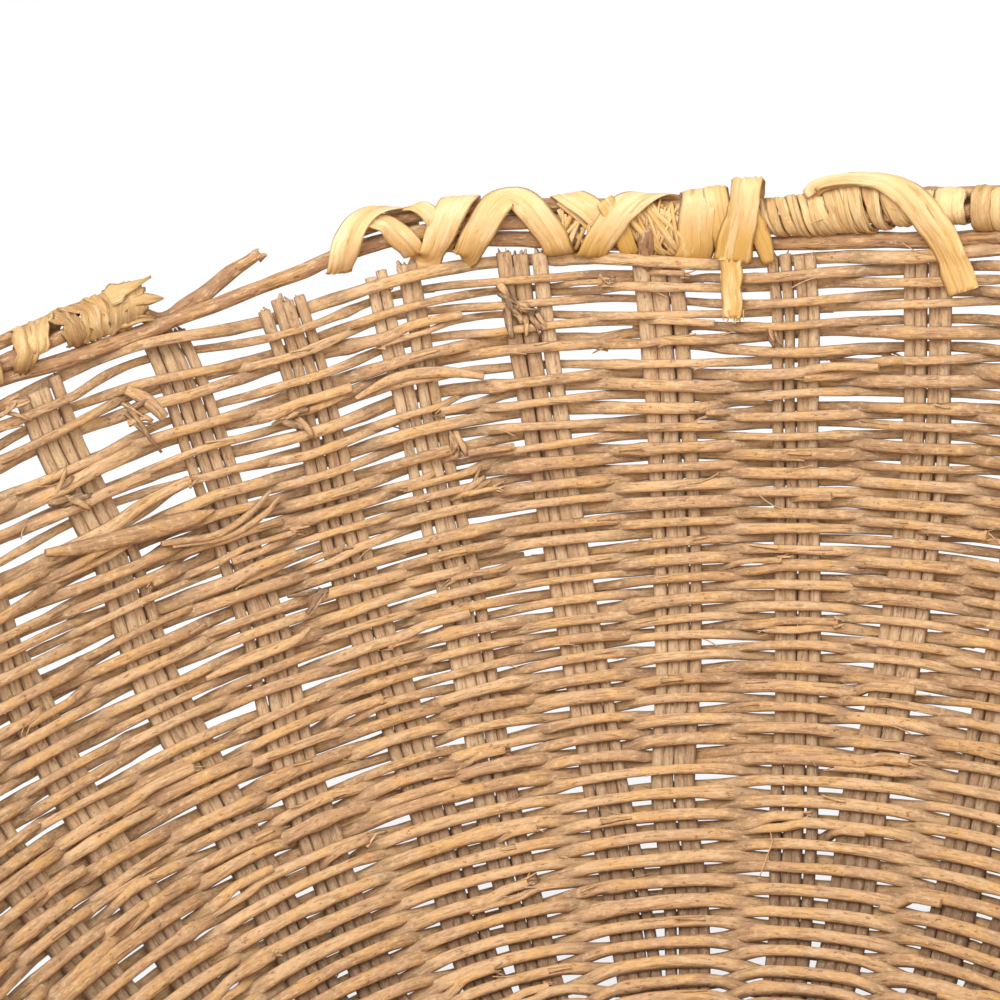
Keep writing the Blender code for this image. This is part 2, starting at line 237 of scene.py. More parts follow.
def rod(points, normals, width, depth, tone, wear=0.5, sides=10, ridge=0.045, square=1.0,
        closed=False, seed=0):
    # a round rod: side = width cos a and rise = depth sin a, squarer where the power square is under 1,
    # with low ridges that come and go along it. Its wear and painted light value is scaled by
    # (1 - the side shade cos(a)^8): painted shade along its sides, where they lie against the next rods.
    count = len(points)
    width, depth = (np.broadcast_to(np.asarray(a, float), (count,)) for a in (width, depth))
    if not closed:
        tangents = unit(np.gradient(points, axis=0))
        tip = skin["endShare"] * min(float(width[0]), skin["endMost"])
        points = np.concatenate([points[:1] - tangents[:1] * tip, points,
                                 points[-1:] + tangents[-1:] * tip])
        normals = np.concatenate([normals[:1], normals, normals[-1:]])
        width, depth = (np.concatenate([a[:1] * skin["endWidth"], a, a[-1:] * skin["endWidth"]])
                        for a in (width, depth))
        tone, wear = (np.pad(np.broadcast_to(np.asarray(a, float), (count,)), 1, mode="edge")
                      for a in (tone, wear))
    along = lengthsAlong(points)
    turns = np.linspace(0, 2 * math.pi, sides, endpoint=False)
    ridges = np.stack([slowNoise(along + 0.37 * i, skin["ridgeLength"], seed + i)
                       for i in range(sides)], axis=1)
    waves = np.sin(2 * turns[None, :] + along[:, None] * skin["twist"] + seed)
    swell = 1 + ridge * ridges + ridge * 0.8 * waves
    if closed:
        swell = 1 + (swell - 1) * np.minimum(1, np.minimum(along, along[-1] - along) / 0.01)[:, None]
    wear = np.broadcast_to(np.asarray(wear, float), (len(points),))[:, None]
    wear = wear * (1 - skin["sideShade"] * np.cos(turns) ** 8)
    cosines, sines = (np.sign(a) * np.abs(a) ** square for a in (np.cos(turns), np.sin(turns)))
    return loft(points, normals, width[:, None] * cosines * swell, depth[:, None] * sines * swell,
                tone, wear, closed, seed)


# A strip's folds: the spacing of its creases and of the notches in its edges, and how thin its edges get
folds = {"creaseLength": 0.012, "frayLength": 0.0022, "edgeThinning": 0.7}


def ribbon(line, width, thickness, tone, seed, wear=0.5, columns=9, curl=0.06, fray=0.0, crease=0.00014):
    # a flat strip: both faces are columns of points across its width. With t from 1 to -1 across it, its
    # middle lies at the creases less curl width t^2, and its faces lie half the thickness away from that,
    # nearer at the edges by the share edgeThinning |t|^6.
    points, normals = line[:, :3], line[:, 3:6]
    along = lengthsAlong(points)
    width = np.broadcast_to(np.asarray(width, float), (len(points),))
    shares = np.linspace(1, -1, columns)
    creases = np.stack([slowNoise(along + 3 * i, folds["creaseLength"], seed + i)
                        for i in range(columns)], axis=1) * crease
    edges = 1 + fray * np.stack([slowNoise(along, folds["frayLength"], seed + i) for i in (31, 37)], axis=1)
    reach = np.where(shares[None, :] > 0, edges[:, :1], edges[:, 1:]) * shares[None, :]
    reach = reach * width[:, None] / 2
    half = thickness / 2 * (1 - folds["edgeThinning"] * np.abs(shares) ** 6)[None, :]
    sag = creases - curl * width[:, None] * shares[None, :] ** 2
    side = np.concatenate([reach, reach[:, ::-1][:, 1:-1]], axis=1)
    rise = np.concatenate([sag + half, (sag - half)[:, ::-1][:, 1:-1]], axis=1)
    return loft(points, normals, side, rise, tone, wear, False, seed)


lowestPoint = 0.0001  # nothing goes below the floor


def makeMesh(name, strands):
    # one mesh from many strands: their points one after another, each strand's faces moved on by the
    # number of points before it, and their grain, tone, and wear with painted light and shade as attributes
    starts = np.concatenate([[0], np.cumsum([len(s["vertices"]) for s in strands])])
    keys = ("vertices", "grain", "tone", "wear", "corners", "triangleCorners")
    gathered = {key: np.concatenate([s[key] for s in strands]) for key in keys}
    quads = np.concatenate([s["quads"] + start for s, start in zip(strands, starts)])
    triangles = np.concatenate([s["triangles"] + start for s, start in zip(strands, starts)])
    uvs = np.concatenate([gathered["corners"], gathered["triangleCorners"]])
    gathered["vertices"][:, 2] = np.maximum(gathered["vertices"][:, 2], lowestPoint)
    mesh = bpy.data.meshes.new(name)
    mesh.vertices.add(len(gathered["vertices"]))
    mesh.vertices.foreach_set("co", gathered["vertices"].astype(np.float32).ravel())
    corners = np.concatenate([quads.ravel(), triangles.ravel()])
    mesh.loops.add(len(corners))
    mesh.loops.foreach_set("vertex_index", corners.astype(np.int32))
    mesh.polygons.add(len(quads) + len(triangles))
    polygonStarts = np.concatenate([np.arange(len(quads)) * 4,
                                    len(quads) * 4 + np.arange(len(triangles)) * 3])
    mesh.polygons.foreach_set("loop_start", polygonStarts.astype(np.int32))
    mesh.polygons.foreach_set("use_smooth", np.arange(len(polygonStarts)) < len(quads))
    mesh.uv_layers.new(name="UVMap").data.foreach_set("uv", uvs.astype(np.float32).ravel())
    grain = mesh.attributes.new("grain", "FLOAT_VECTOR", "POINT")
    grain.data.foreach_set("vector", gathered["grain"].astype(np.float32).ravel())
    for key in ("tone", "wear"):
        values = mesh.attributes.new(key, "FLOAT", "POINT")
        values.data.foreach_set("value", gathered[key].astype(np.float32))
    mesh.update(calc_edges=True)
    return mesh


def finishPiece(name, slot, node, strands):
    # makes the object, gives it its material and ties it to the frame in place of its node
    made = bpy.data.objects.new(name, makeMesh(name, strands))
    bpy.context.scene.collection.objects.link(made)
    made.data.materials.append(materials[slot])
    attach(made, "root")
    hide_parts(node)


def hexColour(text):
    # sRGB hex to linear light: v / 12.92 up to 0.04045, and ((v + 0.055) / 1.055) ^ 2.4 above
    values = [int(text[i:i + 2], 16) / 255 for i in (0, 2, 4)]
    return tuple(v / 12.92 if v <= 0.04045 else ((v + 0.055) / 1.055) ** 2.4 for v in values) + (1.0,)


def addNode(tree, kind, inputs=None, **settings):
    # adds a node, its settings, and its inputs as values or links
    node = tree.nodes.new(kind)
    for name, value in settings.items():
        setattr(node, name, value)
    for key, value in (inputs or {}).items():
        if isinstance(value, bpy.types.NodeSocket):
            tree.links.new(value, node.inputs[key])
        else:
            node.inputs[key].default_value = value
    return node


def perMetre(size):
    # how often a pattern comes in a metre, from its size in millimetres, to the nearest five
    return 5 * round(200 / size)


# How the patterns of every fibre are cut: noise detail and roughness
noises = {"streaks": (5.0, 0.62), "flakes": (5.0, 0.68), "patches": (4.0, 0.6), "pores": (3.0, 0.65)}


def fibreMaterial(look):
    # bark or bast: each rod's own tone, then one colour laid over another. Each layer's share runs evenly
    # from one value to another between two heights of its pattern.
    made = bpy.data.materials.new(look["name"])
    made.use_nodes = True
    tree = made.node_tree
    shader = tree.nodes["Principled BSDF"]
    grain = addNode(tree, "ShaderNodeAttribute", attribute_name="grain").outputs["Vector"]
    tone = addNode(tree, "ShaderNodeAttribute", attribute_name="tone").outputs["Fac"]
    values = {"wear": addNode(tree, "ShaderNodeAttribute", attribute_name="wear").outputs["Fac"]}
    for name, (detail, roughness) in noises.items():
        across, along = (perMetre(size) for size in look[name])
        stretched = addNode(tree, "ShaderNodeMapping", {"Vector": grain, "Scale": (across, across, along)})
        values[name] = addNode(tree, "ShaderNodeTexNoise",
                               {"Vector": stretched.outputs[0], "Scale": 1.0, "Detail": detail,
                                "Roughness": roughness}).outputs["Fac"]
    ramp = addNode(tree, "ShaderNodeValToRGB", {"Fac": tone})
    stops = ramp.color_ramp.elements
    stops.new(0.5)
    for stop, position, text in zip(stops, (0.0, 0.5, 1.0), look["tones"]):
        stop.position = position
        stop.color = hexColour(text)
    # painted highlight: golden patches show most where rods stand out and least in their painted shade
    wornAndLit = addNode(tree, "ShaderNodeMapRange", {"Value": values["wear"], "From Min": 0.2, "From Max": 1.0,
                                                "To Min": 0.15, "To Max": 1.0}).outputs["Result"]
    layers = (("patches", 0.44, 0.60, 0.0, look["patchShare"], "patch"),  # golden where bark is worn off, strongest where rods stand out: partly painted highlight
              ("wear", 0.0, 0.65, look["dullShadeShare"], 0.0, "dullShade"),  # painted shade where rods touch, cross and lie under others, and below on the strips; random dull bands on the bast
              ("pores", 0.30, 0.62, look["poreShare"], 0.0, "streak"),
              ("streaks", 0.40, 0.47, look["streakShare"], 0.0, "streak"),
              ("flakes", 0.55, 0.60, 0.0, look["lightShare"], "light"),
              ("flakes", 0.35, 0.40, look["speckShare"], 0.0, "speck"))
    colour = ramp.outputs["Color"]
    for pattern, low, high, lowShare, highShare, name in layers:
        share = addNode(tree, "ShaderNodeMapRange",
                        {"Value": values[pattern], "From Min": low, "From Max": high,
                         "To Min": lowShare, "To Max": highShare}).outputs["Result"]
        if name == "patch":
            share = addNode(tree, "ShaderNodeMath", {0: share, 1: wornAndLit}, operation="MULTIPLY").outputs[0]
        colour = addNode(tree, "ShaderNodeMix", {0: share, 6: colour, 7: hexColour(look[name])},
                         data_type="RGBA").outputs[2]
    relief = addNode(tree, "ShaderNodeMath", {0: values["flakes"], 1: values["streaks"]}, operation="ADD")
    relief = addNode(tree, "ShaderNodeMath", {0: values["pores"], 1: 0.45, 2: relief.outputs[0]},
                     operation="MULTIPLY_ADD")
    bump = addNode(tree, "ShaderNodeBump", {"Height": relief.outputs[0], "Strength": look["bump"],
                                            "Distance": 0.0008})
    rough, smooth = look["rough"]
    dullness = addNode(tree, "ShaderNodeMapRange", {"Value": values["streaks"], "From Min": 0.3,
                                                    "From Max": 0.7, "To Min": rough, "To Max": smooth})
    tree.links.new(colour, shader.inputs["Base Color"])
    tree.links.new(dullness.outputs["Result"], shader.inputs["Roughness"])
    tree.links.new(bump.outputs["Normal"], shader.inputs["Normal"])
    shader.inputs["Specular IOR Level"].default_value = look["specular"]
    return made


# Sizes of patterns are millimetres across and along the fibres. The fibres and pores of real bark are 0.1
# to 0.3 mm wide, and are drawn about three times as coarse, so that they show. Patches and long streaks
# are as large as the real ones.
looks = {
    # dry willow bark of one-year rods: matt fawn, in long brown streaks, with lighter flakes where it peels
    "willow_stake": {"name": "willow bark of the stakes", "tones": ("b8946f", "cfac85", "dfbf97"),
                     "streaks": (0.714, 7.7), "flakes": (0.91, 2.17), "patches": (5.0, 9.1),
                     "pores": (0.77, 2.56), "patchShare": 0.4, "patch": "cda273", "dullShadeShare": 0.85,
                     "dullShade": "7c604a", "poreShare": 0.35, "streakShare": 0.55, "streak": "84634a",
                     "lightShare": 0.3, "light": "e0c6a2", "speckShare": 0.6, "speck": "6e4c36",
                     "bump": 0.6, "rough": (0.8, 0.6), "specular": 0.2},
    # the same bark on thinner rods, golden with painted highlight where they stand forward and in painted
    # shade where they dive
    "willow_weaver": {"name": "willow bark of the weavers", "tones": ("bb926b", "cda47c", "dbb387"),
                      "streaks": (0.714, 7.7), "flakes": (0.91, 1.92), "patches": (4.35, 10.0),
                      "pores": (0.77, 2.56), "patchShare": 0.75, "patch": "dbab6e", "dullShadeShare": 0.85,
                      "dullShade": "7a6553", "poreShare": 0.3, "streakShare": 0.45, "streak": "806044",
                      "lightShare": 0.45, "light": "e2c79b", "speckShare": 0.65, "speck": "6f4b32",
                      "bump": 0.6, "rough": (0.78, 0.56), "specular": 0.22},
    # older, thicker rods: browner, with broad scars and a faint sheen
    "willow_rim": {"name": "willow bark of the rim rods", "tones": ("9f7858", "b98f6a", "cba178"),
                   "streaks": (0.77, 12.5), "flakes": (1.43, 4.55), "patches": (5.0, 12.5),
                   "pores": (0.77, 2.56), "patchShare": 0.75, "patch": "dcab66", "dullShadeShare": 0.2,
                   "dullShade": "96745a", "poreShare": 0.4, "streakShare": 0.6, "streak": "7c573d",
                   "lightShare": 0.5, "light": "e6c698", "speckShare": 0.6, "speck": "6a4630",
                   "bump": 0.65, "rough": (0.76, 0.55), "specular": 0.22},
    # willow split and shaved flat: bare pale wood, straw yellow, satin, with long fine grain
    "pale_strip": {"name": "pale willow skein", "tones": ("d2a65e", "e2b67c", "eac696"),
                   "streaks": (1.0, 33.3), "flakes": (2.38, 16.7), "patches": (5.9, 11.1),
                   "pores": (0.77, 2.56), "patchShare": 0.5, "patch": "ecd0a2", "dullShadeShare": 0.7,
                   "dullShade": "cc9c48", "poreShare": 0.12, "streakShare": 0.45, "streak": "ae8a4a",
                   "lightShare": 0.4, "light": "f2dab0", "speckShare": 0.5, "speck": "996832",
                   "bump": 0.45, "rough": (0.62, 0.45), "specular": 0.3},
    # inner bark torn in bands: matt buff, stringy, darker in the folds
    "bast": {"name": "bark bast", "tones": ("bf9461", "e2be84", "f0d4a0"),
             "streaks": (0.714, 22.2), "flakes": (1.67, 9.1), "patches": (5.9, 8.3),
             "pores": (0.77, 2.56), "patchShare": 0.5, "patch": "ecc68e", "dullShadeShare": 0.75,
             "dullShade": "a17a52", "poreShare": 0.2, "streakShare": 0.4, "streak": "a87c4c",
             "lightShare": 0.4, "light": "eed6aa", "speckShare": 0.35, "speck": "74502f",
             "bump": 0.6, "rough": (0.85, 0.65), "specular": 0.2},
}
materials = {slot: fibreMaterial(look) for slot, look in looks.items()}
print("materials made")

# The spokes: eight rods each, from rim to rim across the mat. Distances are from the basket's axis.
spokes = {"rodsInGroup": 4, "step": 0.0022, "sides": 10, "ridge": 0.05, "square": 0.68,
          "radiusRim": 0.00155, "radiusSlant": 0.196, "topCut": 0.0022, "wander": 0.00042,
          "groupWander": 0.0009, "wanderOut": 0.00030, "matWander": 0.0002,
          "fullDistances": (0.08, 0.10, 0.165, 0.19), "fullness": (0.97, 1.06, 1.06, 0.92),
          # painted shade: the stakes darken from 0.088 to 0.125 m from the axis, where the base rows lie over
          # them
          "wearDistances": (0.070, 0.088, 0.125, 0.175), "wear": (0.6, 0.05, 0.05, 0.85),
          "topAngles": (-180, -40, -31, -27, -22, -18, -15, -11, -4.7, 4.7, 13.7, 23.3, 32, 180),
          "topSlants": (0.1955, 0.1958, 0.1962, 0.1976, 0.1982, 0.1984, 0.1978, 0.1968, 0.1966, 0.1954,
                        0.1954, 0.1940, 0.1955, 0.1955)}

# In some groups one rod slips behind the other three on the way up, and they spread over its room. One
# group parts in the middle, and the tops near one angle lean out behind the sagging rim.
slips = {"from": 0.125, "over": 0.03, "out": 0.0021, "widening": 0.00060}
parting = {"key": 39, "from": 0.165, "over": 0.02, "by": 0.0008}
leaning = {"angle": -31, "width": 5.0, "from": 0.187, "over": 0.006, "out": 0.0022}

# How far some groups stand from their even place, in degrees, at places up the wall
drifts = {"slants": (0.060, 0.090, 0.120, 0.150, 0.180, 0.200),
          (-2, -1): (1.2, 1.2, 0.6, 1.4, 0.2, 0.0), (-2, 1): (0.0, 0.6, 2.2, 1.9, 1.3, 0.7),
          (-1, -1): (1.0, 1.0, 0.6, 0.8, 0.9, 0.4), (-1, 1): (-0.5, 0.0, 0.3, -0.2, -0.5, -0.7),
          (0, -1): (-0.2, -0.3, -0.4, -0.5, -0.6, -0.4), (0, 1): (-1.5, -0.3, 0.1, 0.2, 0.1, -0.2),
          (1, -1): (0.1, 0.1, 0.0, 0.1, 0.6, 0.4), (1, 1): (-0.6, 0.6, 1.0, 1.3, 1.1, 1.0)}


def groupWidth(slant):
    # a group's width goes evenly from the mat's to the rim's
    share = np.clip(slant / bowl["stakeTop"], 0, 1)
    return groups["widthMat"] + (groups["widthRim"] - groups["widthMat"]) * share


def groupPlace(slant):
    # distance from the middle of a pair to the middle of one of its groups: a share of the pair's room
    room = 2 * bowlRadius(slant) * math.tan(math.radians(pairTurn / 2))
    places = [groups["forkStart"], bowl["weaveStart"], bowl["stakeTop"]]
    return np.maximum(room * np.interp(slant, places, groups["forkShares"]), groupWidth(slant)) / 2


def groupDrift(pair, side, slant):
    # how far a whole group has moved to the side, in metres, from the bend upwards
    pair = (pair + pairCount // 2) % pairCount - pairCount // 2
    slant = np.asarray(slant, float)
    if (pair, side) in drifts:
        shift = np.radians(np.interp(slant, drifts["slants"], drifts[pair, side])) * bowlRadius(slant)
    else:
        shift = slowNoise(slant, 0.055, 500 + 2 * pair + side) * spokes["groupWander"]
    return shift * smoothStep((slant - 0.03) / 0.04)


def armOf(pair, side, order, seed):
    # one rod's way from the flat bottom up to its cut end at the rim. Its place across the pair is its
    # group's place, plus its share of the group's width, plus slow wandering.
    draw = np.random.default_rng(seed)
    turned = (pair * pairTurn + side * groups["turn"] + 180) % 360 - 180
    top = np.interp(turned, spokes["topAngles"], spokes["topSlants"]) - draw.uniform(0, spokes["topCut"])
    slants = np.append(np.arange(0, top, spokes["step"]), top)
    key = 2 * (pair % pairCount) + (side > 0)
    tucked = np.random.default_rng(900 + key).integers(0, spokes["rodsInGroup"])
    slipped = smoothStep((slants - slips["from"]) / slips["over"]) * (key < 2 or key % 6 == 5)
    places = ((order + 0.5) / spokes["rodsInGroup"] - 0.5) * groupWidth(slants)
    out = leaning["out"] * smoothStep((slants - leaning["from"]) / leaning["over"])
    out = out * np.exp(-((turned - leaning["angle"]) / leaning["width"]) ** 4)
    if order == tucked:
        out = out + slipped * slips["out"]
        places = places * (1 - 0.5 * slipped)
    else:
        rank = order - int(order > tucked)
        spread = (rank + 0.5) / (spokes["rodsInGroup"] - 1) - 0.5
        places = places * (1 - slipped) + spread * groupWidth(slants) * slipped
    if key == parting["key"]:
        apart = parting["by"] if order > 1 else -parting["by"]
        places = places + apart * smoothStep((slants - parting["from"]) / parting["over"])
    across = side * (groupPlace(slants) + places) + groupDrift(pair, side, slants)
    across = across + slowNoise(slants, 0.028, seed + 1) * spokes["wander"]
    out = out + slowNoise(slants, 0.03, seed + 2) * spokes["wanderOut"]
    angle = pair * pairTurn + np.degrees(across / bowlRadius(slants))
    widening = slips["widening"] * slipped * (order != tucked)
    return np.column_stack([onBowl(angle, slants, out), bowlNormal(angle, slants), widening, slants])


def spokeRod(turn, index, side, order, seed):
    # both arms and the way over and under the five spokes that cross this one. On the mat its level is
    # the middle one plus or minus the offset times tanh(sharpness cos(pi along / pitch)). Its columns
    # are the point, the normal, the radius and the slant.
    near = armOf(index + turn, side, order, seed)
    far = armOf(pairCount // 2 - index + turn, -side, order, seed + 10)
    along = np.linspace(-groups["matReach"], groups["matReach"], groups["matPlaces"])
    x = index * groups["matPitch"] + side * (order + 0.5) / spokes["rodsInGroup"] * groups["widthMat"]
    x = x + slowNoise(along, 0.03, seed + 3) * spokes["matWander"]
    lift = (1 if turn == 0 else -1) * (-1) ** index * groups["matOffset"]
    bend = np.tanh(groups["matSharpness"] * np.cos(math.pi * along / groups["matPitch"]))
    level = groups["matLevel"] + lift * bend
    flat = np.column_stack([x, along, level] if turn == 0 else [along, -x, level])
    flat = np.column_stack([flat, np.tile([0.0, 0.0, -1.0, 0.0, 0.0], (len(along), 1))])
    line = np.concatenate([far[::-1], flat, near])
    radiusMat = groups["widthMat"] / (2 * spokes["rodsInGroup"])
    line[:, 6] += radiusMat + (spokes["radiusRim"] - radiusMat) * line[:, 7] / spokes["radiusSlant"]
    line = evenly(line, spokes["step"])
    middle = np.stack([np.convolve(column, [0.25, 0.5, 0.25], "valid") for column in line.T], axis=1)
    return np.concatenate([line[:1], middle, line[-1:]])


# Fibres that stick out of a broken end: how far across it and through it they start, how deep inside
# they root, and how much they bend
frayed = {"across": 0.0011, "through": 0.0006, "inside": 0.0008, "bend": 0.12, "places": 5}


def splinters(point, direction, normal, count, length, seed, spread=0.35, radius=0.00022):
    # thin broken fibres that start in a rod's end and lean apart: root + far s reach + bend s^2 reach
    draw = np.random.default_rng(seed)
    strands = []
    direction, normal = unit(direction), unit(normal)
    across = np.cross(normal, direction)
    steps = np.linspace(0, 1, frayed["places"])[:, None]
    for i in range(count):
        lean = draw.normal(0, spread, 2)
        far = unit(direction + across * lean[0] + normal * lean[1])
        root = (point + across * draw.uniform(-frayed["across"], frayed["across"])
                + normal * draw.uniform(-frayed["through"], frayed["through"]))
        reach = draw.uniform(0.35, 1.0) * length
        bend = across * draw.normal(0, frayed["bend"]) + normal * draw.normal(0, frayed["bend"])
        points = root - far * frayed["inside"] + far * steps * (reach + frayed["inside"])
        points = points + bend * steps ** 2 * reach
        thick = radius * draw.uniform(0.6, 1.5) * np.linspace(1, 0.35, frayed["places"])
        strands.append(rod(points, np.tile(normal, (len(steps), 1)), thick * draw.uniform(1, 2.6), thick,
                           draw.uniform(0.3, 1.0), draw.uniform(0.3, 1.0), 5, 0.1, seed=seed + i))
    return strands


def makeSpoke(turn, index):
    # a spoke's eight rods, each with its own thickness and tone, with fibres at both cut ends
    way = "lengthwise" if turn == 0 else "crosswise"
    number = index + 3
    strands = []
    for side in (-1, 1):
        for order in range(spokes["rodsInGroup"]):
            seed = 40000 + ((turn * 10 + number) * 10 + (side + 1) * 4 + order) * 20
            line = spokeRod(turn, index, side, order, seed)
            draw = np.random.default_rng(seed)
            along = lengthsAlong(line[:, :3])
            size = line[:, 6] * draw.uniform(0.95, 1.05)
            size = size * (1 + 0.05 * slowNoise(along, 0.05, seed + 5)
                           + 0.03 * slowNoise(along, 0.012, seed + 6))
            tone = draw.uniform(0.1, 0.9) + 0.2 * slowNoise(along, 0.03, seed + 7)
            distance = np.linalg.norm(line[:, :2], axis=1)
            # painted shade: the stakes are darker where the base rows lie over them
            wear = np.interp(distance, spokes["wearDistances"], spokes["wear"])
            size = size * np.interp(distance, spokes["fullDistances"], spokes["fullness"])
            strands.append(rod(line[:, :3], line[:, 3:6], size, size, np.clip(tone, 0, 1), wear,
                               spokes["sides"], spokes["ridge"], spokes["square"], seed=seed))
            for end, before in ((0, 2), (-1, -3)):
                strands += splinters(line[end, :3], line[end, :3] - line[before, :3], line[end, 3:6],
                                     int(draw.integers(0, 4)), 0.0013, seed + 11 + end, 0.25, 0.0004)
    finishPiece(f"stakes_{way}_{number}", "willow_stake", f"spoke_{way}_{number}", strands)


for turn in (0, pairCount // 4):
    for index in range(-2, 3):
        makeSpoke(turn, index)
print("stakes made")


# The weave: rods that go inside one stake and outside the next
weave = {"baseRows": 27, "baseCourses": 5, "wallRows": 36, "wallPitch": 0.00241, "topRows": 12,
         "topPitch": 0.00308, "wallStart": 0.0012, "topGap": 0.0028, "wallCourses": 10,
         "baseRadius": 0.00156, "wallRadius": 0.00133, "topRadius": 0.00142, "lowSwell": 1.05,
         "thinning": 0.09, "thinningRows": 22, "step": 0.0019, "sides": 10, "ridge": 0.05,
         "square": 0.66, "amplitude": 0.00300, "endOfLevel": 0.0022, "leastGap": 0.003,
         "bulge": 0.0003, "rodLength": (0.22, 0.50), "overlap": (0.005, 0.014),
         "looseness": {"base": 0.8, "wall": 1.15, "top": 2.1}}
wallRowSlants = [bowl["weaveStart"] + weave["wallStart"] + i * weave["wallPitch"]
                 for i in range(weave["wallRows"])]
wallRowSlants += [wallRowSlants[-1] + weave["topGap"] + i * weave["topPitch"]
                  for i in range(weave["topRows"])]
courseEnds = np.linspace(bowl["weaveStart"], bowl["wallTop"], weave["wallCourses"] + 1)

# How rows leave their level: a slow and a quick wave that neighbours share, and kinks of their own, as
# count, seed and height. The kinks grow about one angle, where the rim has come apart, and the top rows
# are raised or lowered there, as height, angle and width.
sway = {"slow": 0.0009, "quick": 0.0007, "from": 0.06, "over": 0.05,
        "kinks": ((20, 3000, 0.00045), (47, 5000, 0.00036)),
        "tornAngle": -43, "tornWidth": 26, "tornFrom": 0.05, "tornOver": 0.04,
        "raisedFrom": 0.176, "raisedOver": 0.012,
        "raised": ((0.0016, -39, 8.5), (-0.0008, -9, 8.0))}

# How rods are laid in: the shortest, in degrees, the turn over which an end comes out and how far it
# pokes past the weave, how far it moves aside in radii, the share of ends that point inwards, the range
# of thickness in the wall and base, the taper, the buds, and the share of ends that fray
laying = {"shortest": 50, "endTurn": 3.0, "poke": (0.0002, 0.0016), "aside": 0.9, "inwards": 0.75,
          "wallSizes": (0.76, 1.22), "baseSizes": (0.86, 1.12), "butt": 1.08, "taper": 0.22,
          "endThinning": 0.22, "budHeight": 0.26, "budLength": 0.0026, "fraying": 0.6,
          "frayedCount": (3, 8), "frayedLength": (0.002, 0.0055)}


def stakeAngles(slant, single):
    # angles of the stakes that a row meets, carried on past a full turn on both sides: the pairs, or the
    # single groups at their place plus their drift, over the radius
    radius = float(bowlRadius(slant))
    middles = np.arange(pairCount) * pairTurn
    if single:
        place = float(groupPlace(slant))
        middles = np.array([pair * pairTurn
                            + math.degrees((side * place + float(groupDrift(pair, side, slant))) / radius)
                            for pair in range(pairCount) for side in (-1, 1)])
    return np.concatenate([middles - 360, middles, middles + 360])


def rowOut(angle, slant, number, single):
    # how far a row stands out at an angle: the amplitude over each stake, inside and outside by turns, and
    # the amplitude times cos(pi share) on the way to the next; over a stake it bulges by 1 - x^2 more
    middles = stakeAngles(slant, single)
    radius = float(bowlRadius(slant))
    half = float(groupWidth(slant)) / 2
    if not single:
        half = float(groupPlace(slant) + groupWidth(slant) / 2)
    half = half - weave["endOfLevel"]
    j = np.clip(np.searchsorted(middles, angle) - 1, 0, len(middles) - 2)
    gone = np.radians(angle - middles[j]) * radius
    room = np.radians(middles[j + 1] - middles[j]) * radius
    side = np.where((j + number) % 2 == 0, 1.0, -1.0)
    share = np.clip((gone - half) / np.maximum(room - 2 * half, weave["leastGap"]), 0, 1)
    bulge = np.clip(1 - (np.minimum(gone, room - gone) / half) ** 2, 0, 1) * weave["bulge"]
    sign = np.where(gone < room / 2, side, -side)
    return side * np.cos(math.pi * share) * weave["amplitude"] + sign * bulge


def rowSlant(angle, slant, number, loose):
    # the row's own slant at an angle: its level, plus the shared waves, plus its kinks times its
    # looseness, plus what the torn rim has raised
    turned = (angle + 180) % 360 - 180
    slow = sway["slow"] * np.sin(np.radians(angle * 2 + 40))
    shared = slow + sway["quick"] * np.sin(np.radians(angle * 5 + slant * 900))
    shared = shared * smoothStep((slant - sway["from"]) / sway["over"])
    near = np.exp(-((turned - sway["tornAngle"]) / sway["tornWidth"]) ** 2)
    torn = 1 + near * smoothStep((slant - sway["tornFrom"]) / sway["tornOver"])
    own = sum(kinks(angle, count, seed + number) * height for count, seed, height in sway["kinks"])
    raised = sum(height * np.exp(-((turned - middle) / width) ** 4)
                 for height, middle, width in sway["raised"])
    high = smoothStep((slant - sway["raisedFrom"]) / sway["raisedOver"])
    return slant + shared + own * loose * torn + raised * high


# Lifted bark: the share of flat flakes, the rest being fibres, their sizes, and how far their far end
# stands off; one in four stands off further
flake = {"flatShare": 0.6, "width": (0.0007, 0.0016), "thickness": 0.00022, "fibre": (0.00012, 0.00024),
         "lift": (0.0001, 0.0008), "highShare": 0.25, "high": 2.2, "sunk": 0.00005, "step": 0.0009,
         "drift": 0.0012, "apartWall": 0.038, "apartBase": 0.05}


def flakesOn(points, normals, out, size, seed, apart):
    # lifted bits of bark along a rod, where it stands forward: a short stretch of its line, moved to the
    # skin and then off it by lift s^2
    draw = np.random.default_rng(seed)
    strands = []
    for i in range(draw.poisson(lengthsAlong(points)[-1] / apart)):
        start = int(draw.integers(2, max(3, len(points) - 8)))
        side = -1.0 if out[start] < 0 else 1.0
        line = evenly(points[start:start + int(draw.integers(3, 6))], flake["step"])
        face = unit(normals[start]) * side
        across = np.cross(face, unit(line[-1] - line[0]))
        share = np.linspace(0, 1, len(line))[:, None]
        if draw.random() < 0.5:
            share = share[::-1]
        around = draw.uniform(-1.0, 1.0)
        middle = size[start] * (math.cos(around) * face + math.sin(around) * across)
        lift = draw.uniform(*flake["lift"])
        lift = lift * (1 if draw.random() < 1 - flake["highShare"] else flake["high"])
        line = line + middle + unit(middle) * (lift * share ** 2 - flake["sunk"])
        if draw.random() < flake["flatShare"]:
            width = draw.uniform(*flake["width"]) * (1 - 0.5 * share[:, 0])
            line = np.column_stack([line, np.tile(unit(middle), (len(line), 1))])
            strands.append(ribbon(line, width, flake["thickness"], draw.uniform(0.2, 1.0), seed + 50 + i,
                                  draw.uniform(0.5, 1.0), 4, 0.1, 0.25, 0.00005))
        else:
            thick = draw.uniform(*flake["fibre"])
            line = line + across * draw.normal(0, flake["drift"]) * share ** 2
            strands.append(rod(line, np.tile(face, (len(line), 1)), thick, thick, draw.uniform(0.4, 1.0),
                               1.0, 4, 0.1, seed=seed + 50 + i))
    return strands


